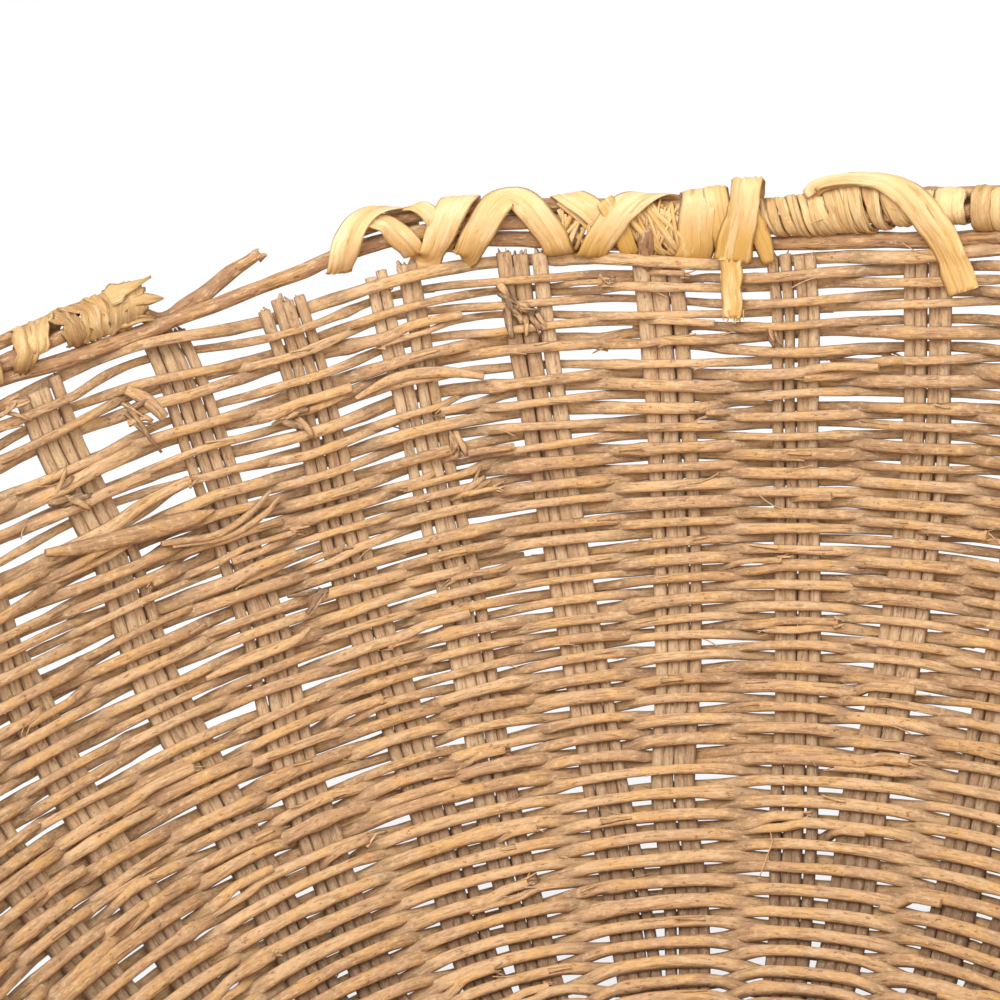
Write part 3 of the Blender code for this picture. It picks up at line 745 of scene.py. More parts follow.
def weaveRow(slant, number, single, radius, loose):
    # a row is a few rods, each laid in beside the end of the last. A rod's radius is the row's, times a
    # draw, times butt - taper (share of its length), times 1 + slow noise, swollen at each bud.
    strands = []
    draw = np.random.default_rng(7000 + number)
    perDegree = 2 * math.pi * float(bowlRadius(slant)) / 360
    start = draw.uniform(0, 360)
    reached = 0.0
    spans = []
    while reached < 360:
        length = draw.uniform(*weave["rodLength"]) / perDegree
        if 360 - reached - length < laying["shortest"]:
            length = 360 - reached
        spans.append((start + reached, start + reached + length))
        reached += length
    for order, (low, high) in enumerate(spans):
        seed = 11000 + number * 40 + order * 13
        before, after = draw.uniform(*weave["overlap"], 2) / perDegree
        angle = np.arange(low - before, high + after, weave["step"] / perDegree)
        wrapped = angle % 360
        along = angle * perDegree
        share = (angle - angle[0]) / (angle[-1] - angle[0])
        ending = smoothStep((angle - high + laying["endTurn"]) / laying["endTurn"])
        starting = smoothStep((low + laying["endTurn"] - angle) / laying["endTurn"])
        inwards = draw.random() < laying["inwards"] or not single
        poke = (-1 if inwards else 1) * (weave["amplitude"] + draw.uniform(*laying["poke"]))
        out = rowOut(wrapped, slant, number, single) * (1 - ending) + poke * ending
        place = rowSlant(wrapped, slant, number, loose)
        place = place + radius * (laying["aside"] * ending - laying["aside"] * starting)
        taper = laying["butt"] - laying["taper"] * (share if draw.random() < 0.5 else 1 - share)
        size = radius * draw.uniform(*laying["wallSizes" if single else "baseSizes"]) * taper
        size = size * (1 + 0.11 * slowNoise(along, 0.03, seed + 1)
                       + 0.03 * slowNoise(along, 0.006, seed + 2))
        size = size * (1 - laying["endThinning"] * np.maximum(ending, starting))
        for bud in draw.uniform(0, 1, draw.integers(1, 5)):
            gone = (share - bud) * (along[-1] - along[0])
            size = size * (1 + laying["budHeight"] * np.exp(-(gone / laying["budLength"]) ** 2))
        forward = np.clip(np.abs(out) / weave["amplitude"], 0, 1)
        tone = draw.uniform(0.05, 1.0) + 0.25 * slowNoise(along, 0.04, seed + 3) + 0.3 * (not single)
        points, normals = onBowl(wrapped, place, out), bowlNormal(wrapped, place)
        # painted light: darker (painted shade) where the rod crosses its neighbours between stakes, golden
        # (painted highlight) where it stands out over a stake, varied by slow noise
        wear = (0.36 + 0.64 * forward ** 1.2) * (1 + 0.2 * slowNoise(along, 0.02, seed + 4))
        strands.append(rod(points, normals, size * (1.10 - 0.12 * forward), size * 0.92,
                           np.clip(tone, 0, 1), np.clip(wear, 0, 1), weave["sides"], weave["ridge"],
                           weave["square"], seed=seed))
        strands += flakesOn(points, normals, out, size, seed + 5,
                            flake["apartWall" if single else "apartBase"])
        for end, inner in ((0, 3), (-1, -4)):
            if draw.random() < laying["fraying"]:
                strands += splinters(points[end], points[end] - points[inner], normals[end],
                                     int(draw.integers(*laying["frayedCount"])),
                                     draw.uniform(*laying["frayedLength"]), seed + 7 + end)
    return strands


# Short rows that fill the four sides between the square mat and the first round row
packing = {"rows": 9, "start": 0.0662, "pitch": 0.00285, "edge": 0.001, "step": 0.0018, "level": 0.0047,
           "amplitude": 0.0027, "sharpness": 3.5, "width": 0.00145, "depth": 0.00138}


def packingRows():
    # each row's level is the middle one plus the amplitude times tanh(sharpness cos(pi x / pitch))
    strands = []
    for quarter in range(4):
        for row in range(packing["rows"]):
            y = packing["start"] + row * packing["pitch"]
            reach = math.sqrt((bowl["flatRadius"] - packing["edge"]) ** 2 - y * y)
            x = np.arange(-reach, reach, packing["step"])
            wave = np.tanh(packing["sharpness"] * np.cos(math.pi * x / groups["matPitch"])) * (-1) ** row
            turn = quarter * math.pi / 2
            points = np.column_stack([x * math.cos(turn) + y * math.sin(turn),
                                      y * math.cos(turn) - x * math.sin(turn),
                                      packing["level"] + wave * packing["amplitude"]])
            seed = 2000 + quarter * 200 + row * 17
            tone = np.random.default_rng(seed).uniform(0.2, 0.9)
            # painted light: the value is |wave|, so painted shade where the row crosses between spokes and
            # painted highlight over and under them
            strands.append(rod(points, np.tile([0.0, 0.0, -1.0], (len(x), 1)), packing["width"],
                               packing["depth"], tone, np.abs(wave), seed=seed))
    return strands


def makeBaseCourse(course):
    # the rows whose share of the flat bottom falls in this course, over and under whole pairs
    strands = packingRows() if course == 1 else []
    for number in range(weave["baseRows"]):
        slant = (number + 0.5) / weave["baseRows"] * bowl["weaveStart"]
        if int(slant / bowl["weaveStart"] * weave["baseCourses"]) == course - 1:
            strands += weaveRow(slant, number, False, weave["baseRadius"], weave["looseness"]["base"])
    strands += [strayRod(stray) for stray in strayRods if stray["course"] == f"base {course}"]
    finishPiece(f"base_weave_{course}", "willow_weaver", f"base_course_{course}", strands)


def makeWallCourse(course):
    # the rows whose slant falls in this course, with the broken bits and loose rods that lie on it
    strands = []
    for row, slant in enumerate(wallRowSlants):
        if courseEnds[course - 1] <= slant < courseEnds[course]:
            kind = "top" if row >= weave["wallRows"] else "wall"
            thinning = weave["lowSwell"] - weave["thinning"] * min(row / weave["thinningRows"], 1)
            strands += weaveRow(slant, weave["baseRows"] + row, True, weave[kind + "Radius"] * thinning,
                                weave["looseness"][kind])
    strands += [strand for bit in brokenBits if bit["course"] == course for strand in brokenBit(bit)]
    strands += [strayRod(stray) for stray in strayRods if stray["course"] == course]
    finishPiece(f"wall_weave_{course}", "willow_weaver", f"wall_course_{course}", strands)


# Bits of broken stake that hang on the inside of the wall: angle, slope, heading from upright, size
brokenBits = [
    {"course": 10, "angle": -44.0, "slant": 0.1935, "heading": 85, "count": 5, "length": 0.008},
    {"course": 10, "angle": -6.6, "slant": 0.1868, "heading": 150, "count": 5, "length": 0.009},
    {"course": 9, "angle": -6.0, "slant": 0.1840, "heading": 120, "count": 6, "length": 0.007},
    {"course": 9, "angle": -5.2, "slant": 0.1815, "heading": 170, "count": 6, "length": 0.007},
    {"course": 10, "angle": -35.6, "slant": 0.1830, "heading": 140, "count": 3, "length": 0.015},
    {"course": 9, "angle": -35.0, "slant": 0.1800, "heading": 100, "count": 4, "length": 0.008},
    {"course": 8, "angle": -42.6, "slant": 0.1700, "heading": 80, "count": 6, "length": 0.010},
    {"course": 8, "angle": -24.0, "slant": 0.1700, "heading": 100, "count": 5, "length": 0.008},
    {"course": 7, "angle": -12.0, "slant": 0.1560, "heading": 190, "count": 5, "length": 0.006},
    {"course": 6, "angle": -11.6, "slant": 0.1420, "heading": 80, "count": 5, "length": 0.007},
    {"course": 5, "angle": -24.6, "slant": 0.1270, "heading": 255, "count": 4, "length": 0.008},
    {"course": 8, "angle": 12.2, "slant": 0.1760, "heading": 170, "count": 4, "length": 0.005},
]


def brokenBit(bit):
    # flat splinters that fan out from one place and lie against the rods, bowed inwards by sin(pi s)
    draw = np.random.default_rng(int(bit["slant"] * 1e5))
    strands = []
    steps = np.linspace(0, 1, 7)
    radius = float(bowlRadius(bit["slant"]))
    for i in range(bit["count"]):
        heading = math.radians(bit["heading"] + draw.normal(0, 18))
        reach = bit["length"] * draw.uniform(0.45, 1.0)
        turned = np.degrees(math.sin(heading) * reach * steps / radius)
        angles = bit["angle"] + draw.normal(0, 0.35) + turned
        slants = bit["slant"] + draw.normal(0, 0.0012) + math.cos(heading) * reach * steps
        bow = 0.0012 * np.sin(steps * math.pi)
        out = -weave["amplitude"] - 0.0004 - bow - draw.uniform(0, 0.0014) * steps
        line = np.column_stack([onBowl(angles, slants, out), -bowlNormal(angles, slants)])
        width = draw.uniform(0.0008, 0.0024) * (1 - 0.45 * steps)
        strands.append(ribbon(line, width, 0.00045, draw.uniform(0.0, 0.9), int(draw.integers(1, 9999)),
                              draw.uniform(0.1, 0.9), 5, 0.2, 0.4, 0.0003))
    return strands


# Rods that have come loose and lie over the weave: places are angles and slants, and the scale is the
# millimetres in a degree and in a metre
strayScale = (3.0, 1000)
strayRods = [    {"course": 7, "places": ((-44.5, 0.1592), (-41.5, 0.1566), (-36.8, 0.1541), (-33.2, 0.1530),
                             (-31.2, 0.1530)),
     "radii": (0.0010, 0.0018, 0.0022, 0.0019, 0.0004), "tone": 0.0, "lift": 0.0016},
    {"course": 7, "places": ((-35.8, 0.1500), (-31.6, 0.1475), (-28.6, 0.1500), (-26.6, 0.1540)),
     "radii": (0.0007, 0.0009, 0.0008, 0.0005), "tone": 0.2, "lift": 0.0018},
    {"course": 7, "places": ((-35.0, 0.1485), (-31.0, 0.1462), (-27.8, 0.1484), (-25.9, 0.1520)),
     "radii": (0.0006, 0.0008, 0.0009, 0.0004), "tone": 0.4, "lift": 0.0012},
    {"course": 4, "places": ((-36.0, 0.1160), (-32.0, 0.1165), (-28.4, 0.1172), (-26.6, 0.1190)),
     "radii": (0.0006, 0.0012, 0.0012, 0.0005), "tone": 1.0, "lift": 0.0010},
    {"course": "base 4", "places": ((11.5, 0.0400), (12.1, 0.0445), (12.7, 0.0485), (12.4, 0.0515)),
     "radii": (0.00014, 0.00016, 0.00016, 0.00010), "tone": 1.0, "lift": 0.0018},
    {"course": 9, "places": ((-34.8, 0.1860), (-33.6, 0.1820), (-32.7, 0.1770)),
     "radii": (0.0012, 0.0017, 0.0013), "tone": 0.5, "lift": 0.0006},
    {"course": 8, "places": ((-18.6, 0.1700), (-15.6, 0.1716), (-12.0, 0.1704), (-9.0, 0.1678)),
     "radii": (0.0006, 0.0014, 0.0014, 0.0008), "tone": 0.8, "lift": 0.0010},
]


def strayRod(stray):
    # a smooth line through its places, tapered, in front of the rods it crosses
    places = np.array(stray["places"]) * strayScale
    line = throughPoints(np.column_stack([places, stray["radii"]]), 1.4)
    angles, slants = line[:, 0] / strayScale[0], line[:, 1] / strayScale[1]
    seed = int(stray["places"][0][1] * 1e5)
    out = -weave["amplitude"] - stray["lift"] - 0.0004 * slowNoise(angles + 90, 4.0, seed)
    return rod(onBowl(angles, slants, out), -bowlNormal(angles, slants), line[:, 2], line[:, 2] * 0.85,
               stray["tone"], 0.7, 10, 0.06, 0.8, seed=seed)


for course in range(1, weave["baseCourses"] + 1):
    makeBaseCourse(course)
for course in range(1, weave["wallCourses"] + 1):
    makeWallCourse(course)
print("weave made")


# The rim: three rods and the stump of a fourth. Places are angles, and millimetres away from the axis
# and up, from the middle of the bundle.
rimScale = 3.5  # millimetres of rim in a degree
rim = {"lowerRadius": 0.0018, "innerRadius": 0.0017, "outerRadius": 0.0016,
       "innerEnds": (-16.4, 327.0), "outerEnds": (-16.0, 328.5),
       "innerPlace": (-1.6, -0.3), "outerPlace": (1.5, 2.9), "wander": 0.3,
       "lowerWander": (0.4, 0.25), "buds": 22, "budHeight": 0.16, "budLength": 0.0028,
       "sides": 14, "ridge": 0.06, "square": 0.88,
       "brokenEnd": ((328.0, -0.8, -3.0), (329.4, 0.4, -6.0), (331.0, 0.8, -5.2), (332.9, 0.5, -1.5),
                     (334.7, -0.3, 2.8), (335.9, -0.9, 4.7), (336.9, -1.4, 6.4)),
       "brokenAngles": (329, 331, 337), "brokenFullness": (1.0, 1.12, 0.74),
       "tipNormal": (0.4, -0.9, 0.2),
       "stump": ((3.7, -2.6, -12.0), (3.8, -3.4, -8.0), (3.9, -4.0, -4.6), (4.0, -4.2, -1.8),
                 (4.0, -4.1, -0.9)),
       "stumpRadii": (0.0016, 0.0018, 0.0021, 0.0017, 0.0007)}

# The bundle of rods in section, in millimetres: its top, the lower rod's half, and the room that strips
# and fibres leave round it
bundle = {"top": 3.8, "below": 1.9, "reachOut": 3.9, "reachUp": 4.0}


def lowerUp(angle):
    # height of the lower rod's middle, in mm
    return evened(angle, lowerRod["evenedOver"], lowerRod["angles"], lowerRod["ups"])


def bundleMiddle(angle):
    # height of the bundle's middle, in mm: half way from its top to the lower rod's underside
    return (bundle["top"] + lowerUp(angle) - bundle["below"]) / 2


def fromStations(line):
    # points of the rim from rows of millimetres along, away and up
    return onRim(line[:, 0] / rimScale, line[:, 1] / 1000, line[:, 2] / 1000)


def rimRod(angle, away, up, radius, tone, seed, closed=False):
    # a rod along the rim: its radius times 1 + slow and quick noise, swollen at each bud
    points = onRim(angle, away / 1000, up / 1000)
    places = np.radians(angle) * bowl["rimRadius"] + 2
    size = radius * (1 + 0.08 * slowNoise(places, 0.035, seed) + 0.05 * slowNoise(places, 0.008, seed + 1))
    for bud in np.random.default_rng(seed).uniform(places[0], places[-1], rim["buds"]):
        size = size * (1 + rim["budHeight"] * np.exp(-((places - bud) / rim["budLength"]) ** 2))
    wear = 0.6 + 0.4 * slowNoise(places, 0.03, seed + 2)
    return rod(points, unit(points * [1, 1, 0]), size, size, tone, wear, rim["sides"], rim["ridge"],
               rim["square"], closed=closed, seed=seed)


def makeRimRods():
    # the lower rod goes all the way round; the outer and inner ones stop where the rim has come apart,
    # and the inner one's broken end springs up
    angle = np.linspace(-180, 180, 700, endpoint=False)
    awayWander, upWander = rim["lowerWander"]
    away = np.interp(angle, lowerRod["awayAngles"], lowerRod["aways"])
    away = away + awayWander * slowNoise(angle + 360, 14.0, 61)
    up = lowerUp(angle) + upWander * slowNoise(angle + 360, 5.0, 60)
    lower = rimRod(angle, away, up, rim["lowerRadius"], 0.5, 71, closed=True)
    points = fromStations(np.array(rim["stump"]) * [rimScale, 1, 1])
    thick = np.array(rim["stumpRadii"])
    stump = rod(points, unit(points * [-1, -1, 0]), thick, thick, 0.1, 0.3, 12, 0.06, 0.9, seed=83)
    finishPiece("rim_lower_rod", "willow_rim", "rim_rod_lower", [lower, stump])
    angle = np.linspace(*rim["outerEnds"], 700)
    away, up = rim["outerPlace"]
    outer = rimRod(angle, away + rim["wander"] * slowNoise(angle + 360, 17.0, 62),
                   up + rim["wander"] * slowNoise(angle + 360, 13.0, 63), rim["outerRadius"], 0.35, 73)
    finishPiece("rim_outer_rod", "willow_rim", "rim_rod_outer", [outer])
    angle = np.linspace(*rim["innerEnds"], 120)
    away, up = rim["innerPlace"]
    line = np.column_stack([angle * rimScale, away + rim["wander"] * slowNoise(angle + 360, 12.0, 65),
                            up + rim["wander"] * slowNoise(angle + 360, 15.0, 64)])
    broken = np.array(rim["brokenEnd"]) * [rimScale, 1, 1]
    line = throughPoints(np.concatenate([line, broken]), 1.7)
    fullness = np.interp(line[:, 0] / rimScale, rim["brokenAngles"], rim["brokenFullness"])
    inner = rimRod(line[:, 0] / rimScale, line[:, 1], line[:, 2], rim["innerRadius"] * fullness, 0.3, 75)
    before, tip = fromStations(line[[-4, -1]])
    finishPiece("rim_inner_rod", "willow_rim", "rim_rod_inner",
                [inner] + splinters(tip, tip - before, np.array(rim["tipNormal"]), 3, 0.0012, 79,
                                    0.1, 0.0005))


makeRimRods()


def rimLine(stations, step=1.1):
    # a line round the bundle through stations of angle, away and up in mm. Its normal points away from
    # the bundle, as on an oval, and turns level where the line hangs below it.
    scale = [rimScale, 1, 1]
    angle, away, up = (throughPoints(np.asarray(stations, float) * scale, step) / scale).T
    middle = bundleMiddle(angle)
    half = bundle["top"] - middle
    hanging = smoothStep((lowerUp(angle) - 2.4 - up) / 3)
    flatAway = away / 21.0 * (1 - hanging) - hanging
    flatUp = (up - middle) / half ** 2 * (1 - hanging) + 0.25 * hanging
    turn = np.radians(angle)
    normals = unit(np.column_stack([flatAway * np.sin(turn), flatAway * np.cos(turn), flatUp]))
    return np.column_stack([onRim(angle, away / 1000, up / 1000), normals])


# The pale strip: up in front, over the rods, down behind and on to the next loop. Widths are in mm.
openStrip = [    {"width": (7.0, 7.2, 7.4, 8.2, 7.8, 7.4, 7.0, 6.4), "tone": 0.55, "stations": (
        (-17.9, -3.2, -3.8), (-17.7, -4.5, -1.6), (-17.3, -4.9, 1.8), (-16.8, -4.7, 4.7), (-16.1, -3.6, 7.0),
        (-15.0, -1.6, 8.0), (-13.8, 0.6, 7.1), (-12.9, 3.0, 4.6), (-12.6, 4.2, 1.0), (-12.6, 3.8, -2.8),
        (-12.4, 1.2, -5.4), (-11.9, -2.4, -6.7), (-11.4, -5.0, -5.8), (-11.0, -5.4, -3.8),
        (-10.5, -5.3, -0.8), (-9.8, -4.9, 3.4), (-9.2, -3.8, 6.0), (-8.6, -1.0, 6.8), (-8.3, 1.8, 5.9), (-8.4, 3.9, 3.0),
        (-8.8, 4.3, -1.4), (-9.2, 3.2, -5.4), (-9.2, -0.4, -7.4), (-8.8, -4.0, -7.2), (-8.2, -5.1, -3.4),
        (-7.3, -5.3, 1.2), (-6.6, -4.9, 4.4), (-5.9, -3.6, 6.2), (-5.2, -2.4, 6.7), (-4.5, -3.2, 6.0),
        (-3.8, -4.6, 3.8), (-3.2, -5.1, 0.4), (-2.6, -5.0, -3.4), (-2.3, -4.0, -7.2), (-2.1, -0.8, -8.9),
        (-1.8, 2.4, -7.6), (-1.6, 4.2, -3.0), (-1.5, 4.4, 2.0), (-1.5, 2.6, 5.0), (-1.3, -0.2, 6.0),
        (-0.7, -2.8, 5.6), (0.2, -4.1, 3.8), (0.9, -4.3, 0.8), (1.3, -4.2, -3.0))},
    {"width": (6.0, 6.4, 6.4), "tone": 0.35, "stations": (
        (-15.8, -0.8, 5.4), (-15.3, -2.6, 6.4), (-14.7, -3.9, 5.9), (-14.1, -4.5, 4.6), (-13.5, -4.6, 1.6),
        (-12.8, -4.6, -2.0), (-12.4, -3.7, -4.6), (-12.2, -1.2, -5.4), (-12.0, 1.8, -4.6),
        (-11.9, 3.2, -1.5))},
    {"width": (5.0, 5.0), "tone": 0.15, "stations": (
        (-12.3, 0.4, 5.8), (-11.6, -2.4, 6.6), (-10.9, -4.0, 4.4), (-10.4, -4.2, 0.6))},
    {"width": (7.2, 7.4, 8.4, 9.0, 8.4), "tone": 0.6, "stations": (
        (-0.6, 2.0, -7.8), (-0.3, -1.6, -8.9), (0.0, -4.4, -8.0), (0.5, -5.4, -4.8), (1.4, -5.6, -0.6),
        (2.2, -5.2, 3.0), (3.0, -4.0, 5.2), (3.9, -1.2, 6.1), (4.9, 1.6, 5.7), (5.6, 3.8, 3.2),
        (6.1, 4.3, -1.5), (6.3, 3.2, -6.4), (6.6, 0.2, -9.0), (7.0, -3.6, -8.6), (7.4, -5.0, -5.6),
        (7.5, -5.3, -2.0), (7.75, -5.2, 3.4), (7.95, -3.8, 6.8), (7.9, -0.6, 7.9), (7.6, 2.6, 6.4),
        (7.4, 4.5, 3.0), (7.4, 4.6, -2.0))},
    {"width": (4.6, 5.2, 4.4), "tone": 0.05, "stations": (
        (1.3, -4.3, 6.0), (1.9, -4.8, 2.0), (2.3, -4.9, -2.4), (2.6, -4.4, -6.6), (2.8, -3.2, -8.0))},
]


# Elsewhere on the rim the strip goes round evenly: turns, points in a turn, and where the two stretches lie
evenStrip = {"turns": 8, "places": 8, "width": 0.0075, "thickness": 0.00055,
             "stretches": ((2, 64, 94), (3, 160, 190))}

# Fibres tangled between the loops: from one angle to another, and how many
tangles = ((2.7, 6.6, 46, 340), (-1.9, 0.2, 12, 341))


def widthsAlong(count, widths):
    # widths in metres, evenly between the named ones in mm
    return np.interp(np.linspace(0, 1, count), np.linspace(0, 1, len(widths)), widths) / 1000


def stripPaintedLight(line):
    # painted light and shade: the strip is paler on top, where light falls from above, and deeper yellow
    # below
    height = line[:, 2] - bowl["rimMiddle"]
    return np.clip(0.55 + height / 0.012, 0, 1)


def makeOpenBinding():
    # the strip's loops and tangled fibres in front, then the even stretches: on an oval round the bundle,
    # cos a away and -sin a up
    strands = []
    for i, strip in enumerate(openStrip):
        line = rimLine(strip["stations"])
        tone = strip["tone"] + 0.2 * slowNoise(lengthsAlong(line[:, :3]), 0.02, 320 + i)
        # painted light and shade: each strip is paler on top and deeper below
        strands.append(ribbon(line, widthsAlong(len(line), strip["width"]), evenStrip["thickness"],
                              np.clip(tone, 0, 1), 300 + 40 * i, stripPaintedLight(line), 11, 0.035, 0.02))
    for low, high, count, seed in tangles:
        strands += tangle(low, high, count, 0.00028, seed)
    finishPiece("open_binding_1", "pale_strip", "binding_strip_1", strands)
    shares = np.linspace(0, 1, evenStrip["turns"] * evenStrip["places"] + 1)
    turned = 2 * math.pi * evenStrip["turns"] * shares
    for number, low, high in evenStrip["stretches"]:
        angle = low + (high - low) * shares + 0.25 * slowNoise(shares * 10, 0.7, 350 + number)
        reach = 0.8 + 0.3 * slowNoise(shares * 10 + 5, 0.4, 360 + number)
        middle = bundleMiddle(angle)
        line = rimLine(np.column_stack([angle, (bundle["reachOut"] + reach) * np.cos(turned),
                                        middle - (bundle["reachUp"] - middle + reach) * np.sin(turned)]))
        # painted light and shade: the even stretches are paler on top and deeper below
        strip = ribbon(line, evenStrip["width"], evenStrip["thickness"], 0.5, 370 + 20 * number,
                       stripPaintedLight(line), 9, 0.035, 0.02)
        finishPiece(f"open_binding_{number}", "pale_strip", f"binding_strip_{number}", [strip])


def tangle(low, high, count, radius, seed):
    # loose fibres that cross each other as they go part of the way round the bundle
    draw = np.random.default_rng(seed)
    strands = []
    shares = np.linspace(0, 1, 8)
    for i in range(count):
        angle = draw.uniform(low, high)
        lean = draw.normal(0, 1.0)
        begin, span = draw.uniform(60, 150), draw.uniform(70, 190)
        turned = np.radians(begin + span * shares)
        reach = draw.uniform(-0.2, 1.2) + 0.5 * slowNoise(np.linspace(0, 4, 8), 1.0, seed + i)
        angles = np.clip(angle + lean * np.linspace(-1, 1, 8), low, high)
        middle = bundleMiddle(angles)
        line = rimLine(np.column_stack([angles, (bundle["reachOut"] + reach) * np.cos(turned),
                                        middle + (bundle["reachUp"] - middle + reach) * np.sin(turned)]), 1.4)
        thick = radius * draw.uniform(0.6, 1.5)
        strands.append(rod(line[:, :3], line[:, 3:6], thick * draw.uniform(1, 3.2), thick,
                           draw.uniform(0, 1), draw.uniform(0.1, 1), 5, 0.1, seed=seed + 60 + i))
    return strands


makeOpenBinding()

# Bast wound close: narrow strands, each a little more than one turn. Tops and bottoms are in mm at
# angles; wide pieces have their own places, each with its width.
wraps = [
    {"number": 1, "ends": (12.0, 22.8), "angles": (12, 15, 18.6, 20.5, 22.8),
     "tops": (4.6, 5.2, 7.8, 7.8, 5.6), "bottoms": (-3.2, -4.6, -4.8, -4.2, -2.6), "lean": 1.1,
     "tone": (0.1, 0.9), "width": (1.0, 2.6), "ragged": 0.45, "wear": 0.80, "wide": ()},
    {"number": 2, "ends": (31.5, 61.0), "angles": (23, 26.6, 28, 40), "tops": (4.4, 4.4, 4.6, 5.0),
     "bottoms": (-3.4, -3.6, -6.4, -5.4), "lean": 0.5, "tone": (0.3, 0.8), "width": (3.0, 5.5),
     "ragged": 0.25, "wear": 0.80,
     "wide": ((23.6, 3.4), (25.3, 7.6), (27.4, 5.0), (29.4, 10.5), (31.2, 6.0))},
    {"number": 3, "ends": (97.0, 141.0), "angles": (97, 141), "tops": (5.6, 5.6), "bottoms": (-5.0, -5.4),
     "lean": 0.9, "tone": (0.3, 0.9), "width": (2.0, 4.0), "ragged": 0.35, "wear": 0.80, "wide": ()},
    {"number": 4, "ends": (206.0, 252.0), "angles": (206, 252), "tops": (5.6, 5.6),
     "bottoms": (-5.2, -5.0), "lean": 0.9, "tone": (0.3, 0.9), "width": (2.0, 4.0), "ragged": 0.35,
     "wear": 0.80, "wide": ()},
    {"number": 5, "ends": (290.0, 316.4), "angles": (290, 316, 320, 328), "tops": (5.4, 4.8, 4.2, 4.2),
     "bottoms": (-5.2, -5.0, -4.4, -4.6), "lean": 0.9, "tone": (0.15, 0.7), "width": (2.4, 5.0),
     "ragged": 0.9, "wear": 0.40,
     "wide": ((319.6, 6.0), (321.2, 8.0), (322.6, 6.0), (324.2, 9.0), (325.6, 7.0), (327.0, 8.0))},
]

# A strand of bast: how much of its width the next leaves free, its places, its reach from the bundle's
# middle and its thickness, and how wide and narrow strands and torn ones curl, fray and crease
bast = {"spacing": 0.48, "places": 15, "reachOut": 4.2, "thickness": 0.0004, "columns": (11, 6),
        "curl": (0.05, 0.08), "fray": (0.45, 0.12), "crease": (0.00070, 0.00018)}

# Torn ends of the last wrap, which point along the rim: angle, away and up, then the width in mm
tongues = (((325.6, -3.2, 4.6), (327.4, -3.4, 5.4), (329.0, -2.6, 5.8), 4.6),
           ((325.8, -4.4, 1.4), (327.6, -4.7, 1.8), (329.4, -4.4, 0.6), 4.0),
           ((325.8, -4.2, -2.0), (327.4, -4.6, -2.6), (328.6, -4.4, -3.6), 3.2))

def makeTongues():
    # flat ribbons that narrow to a point: width (1 - 0.85 s^2)
    strands = []
    for i, (*stations, width) in enumerate(tongues):
        line = rimLine(stations, 0.8)
        narrow = width / 1000 * (1 - 0.85 * np.linspace(0, 1, len(line)) ** 2)
        strands.append(ribbon(line, narrow, bast["thickness"], 0.3, 2900 + 40 * i, 0.5, 7, 0.06, 0.35,
                              0.0005))
    return strands


def bastStrand(wrap, count, angle, width, wide, draw):
    # a strand goes round the bundle on an oval: reach cos a away and half its height sin a up. A torn one
    # goes less far round and leans any way.
    shares = np.linspace(0, 1, bast["places"])
    ragged = wrap["ragged"]
    torn = wide and ragged > 0.5
    begin = draw.uniform(-40, 40)
    turned = np.radians(begin + draw.uniform(*((200, 330) if torn else (310, 400))) * shares)
    lean = draw.normal(0, 0.9) if torn else draw.uniform(0.6, 1.4) * (0.35 if wide else 1.0)
    angles = angle + wrap["lean"] * lean * (shares - 0.4) * 2
    angles = angles + 0.12 * ragged * slowNoise(shares * 9, 1.0, 900 + count)
    reach = draw.uniform(-0.2, 0.4) + ragged * (0.45 * slowNoise(shares * 9, 1.3, 1500 + count)
                                                + (0.9 if torn else 0.4) * draw.random() ** 2)
    top, bottom = (np.interp(angles, wrap["angles"], wrap[key]) for key in ("tops", "bottoms"))
    middle, half = (top + bottom) / 2, (top - bottom) / 2
    dense = throughPoints(np.column_stack([angles * rimScale, (bast["reachOut"] + reach) * np.cos(turned),
                                           middle + (half + reach) * np.sin(turned),
                                           np.cos(turned) / bast["reachOut"], np.sin(turned) / half]), 1.2)
    turn = np.radians(dense[:, 0] / rimScale)
    normals = unit(np.column_stack([dense[:, 3] * np.sin(turn), dense[:, 3] * np.cos(turn), dense[:, 4]]))
    line = np.column_stack([fromStations(dense), normals])
    along = lengthsAlong(line[:, :3])
    ends = np.minimum(np.linspace(0, 1, len(line)), np.linspace(1, 0, len(line)))
    taper = 0.35 + 0.65 * smoothStep(ends / 0.08)
    wear = np.clip(wrap["wear"] + 0.45 * slowNoise(along, 0.008, 1700 + count), 0, 1)
    tone = draw.uniform(*wrap["tone"]) + ragged * 0.5 * slowNoise(along, 0.006, 1900 + count)
    return ribbon(line, width / 1000 * taper, bast["thickness"], np.clip(tone, 0, 1),
                  1000 + 90 * wrap["number"] + count, wear, bast["columns"][not wide],
                  bast["curl"][not wide], bast["fray"][not torn], bast["crease"][not torn])


def makeWrap(wrap):
    # the wide pieces, then narrow strands one beside the other, then fibres that stand off them
    draw = np.random.default_rng(800 + wrap["number"])
    strands = makeTongues() if wrap["number"] == 5 else []
    low, high = wrap["ends"]
    pieces = [(place, width, True) for place, width in wrap["wide"]]
    angle = low
    while angle < high:
        width = draw.uniform(*wrap["width"])
        pieces.append((angle, width, False))
        angle += width * bast["spacing"] / rimScale
    for count, (angle, width, wide) in enumerate(pieces):
        strands.append(bastStrand(wrap, count, angle, width, wide, draw))
    for i in range(int((high - low) * 1.2)):
        at = draw.uniform(low, high)
        side = draw.uniform(0.4, 1.25) * math.pi
        root = onRim(at, 4.3 * math.cos(side) / 1000, 5.2 * math.sin(side) / 1000)
        turn = math.radians(at)
        away = np.array([math.cos(side) * math.sin(turn), math.cos(side) * math.cos(turn), math.sin(side)])
        level = np.array([math.cos(turn), -math.sin(turn), 0.0])
        strands += splinters(root - away * 0.0008, away * 0.35 + level * draw.choice((-1, 1)), away, 1,
                             0.005, 2400 + 10 * i, 0.4, 0.00014)
    finishPiece(f"close_binding_{wrap['number']}", "bast", f"bast_wrap_{wrap['number']}", strands)


for wrap in wraps:
    makeWrap(wrap)


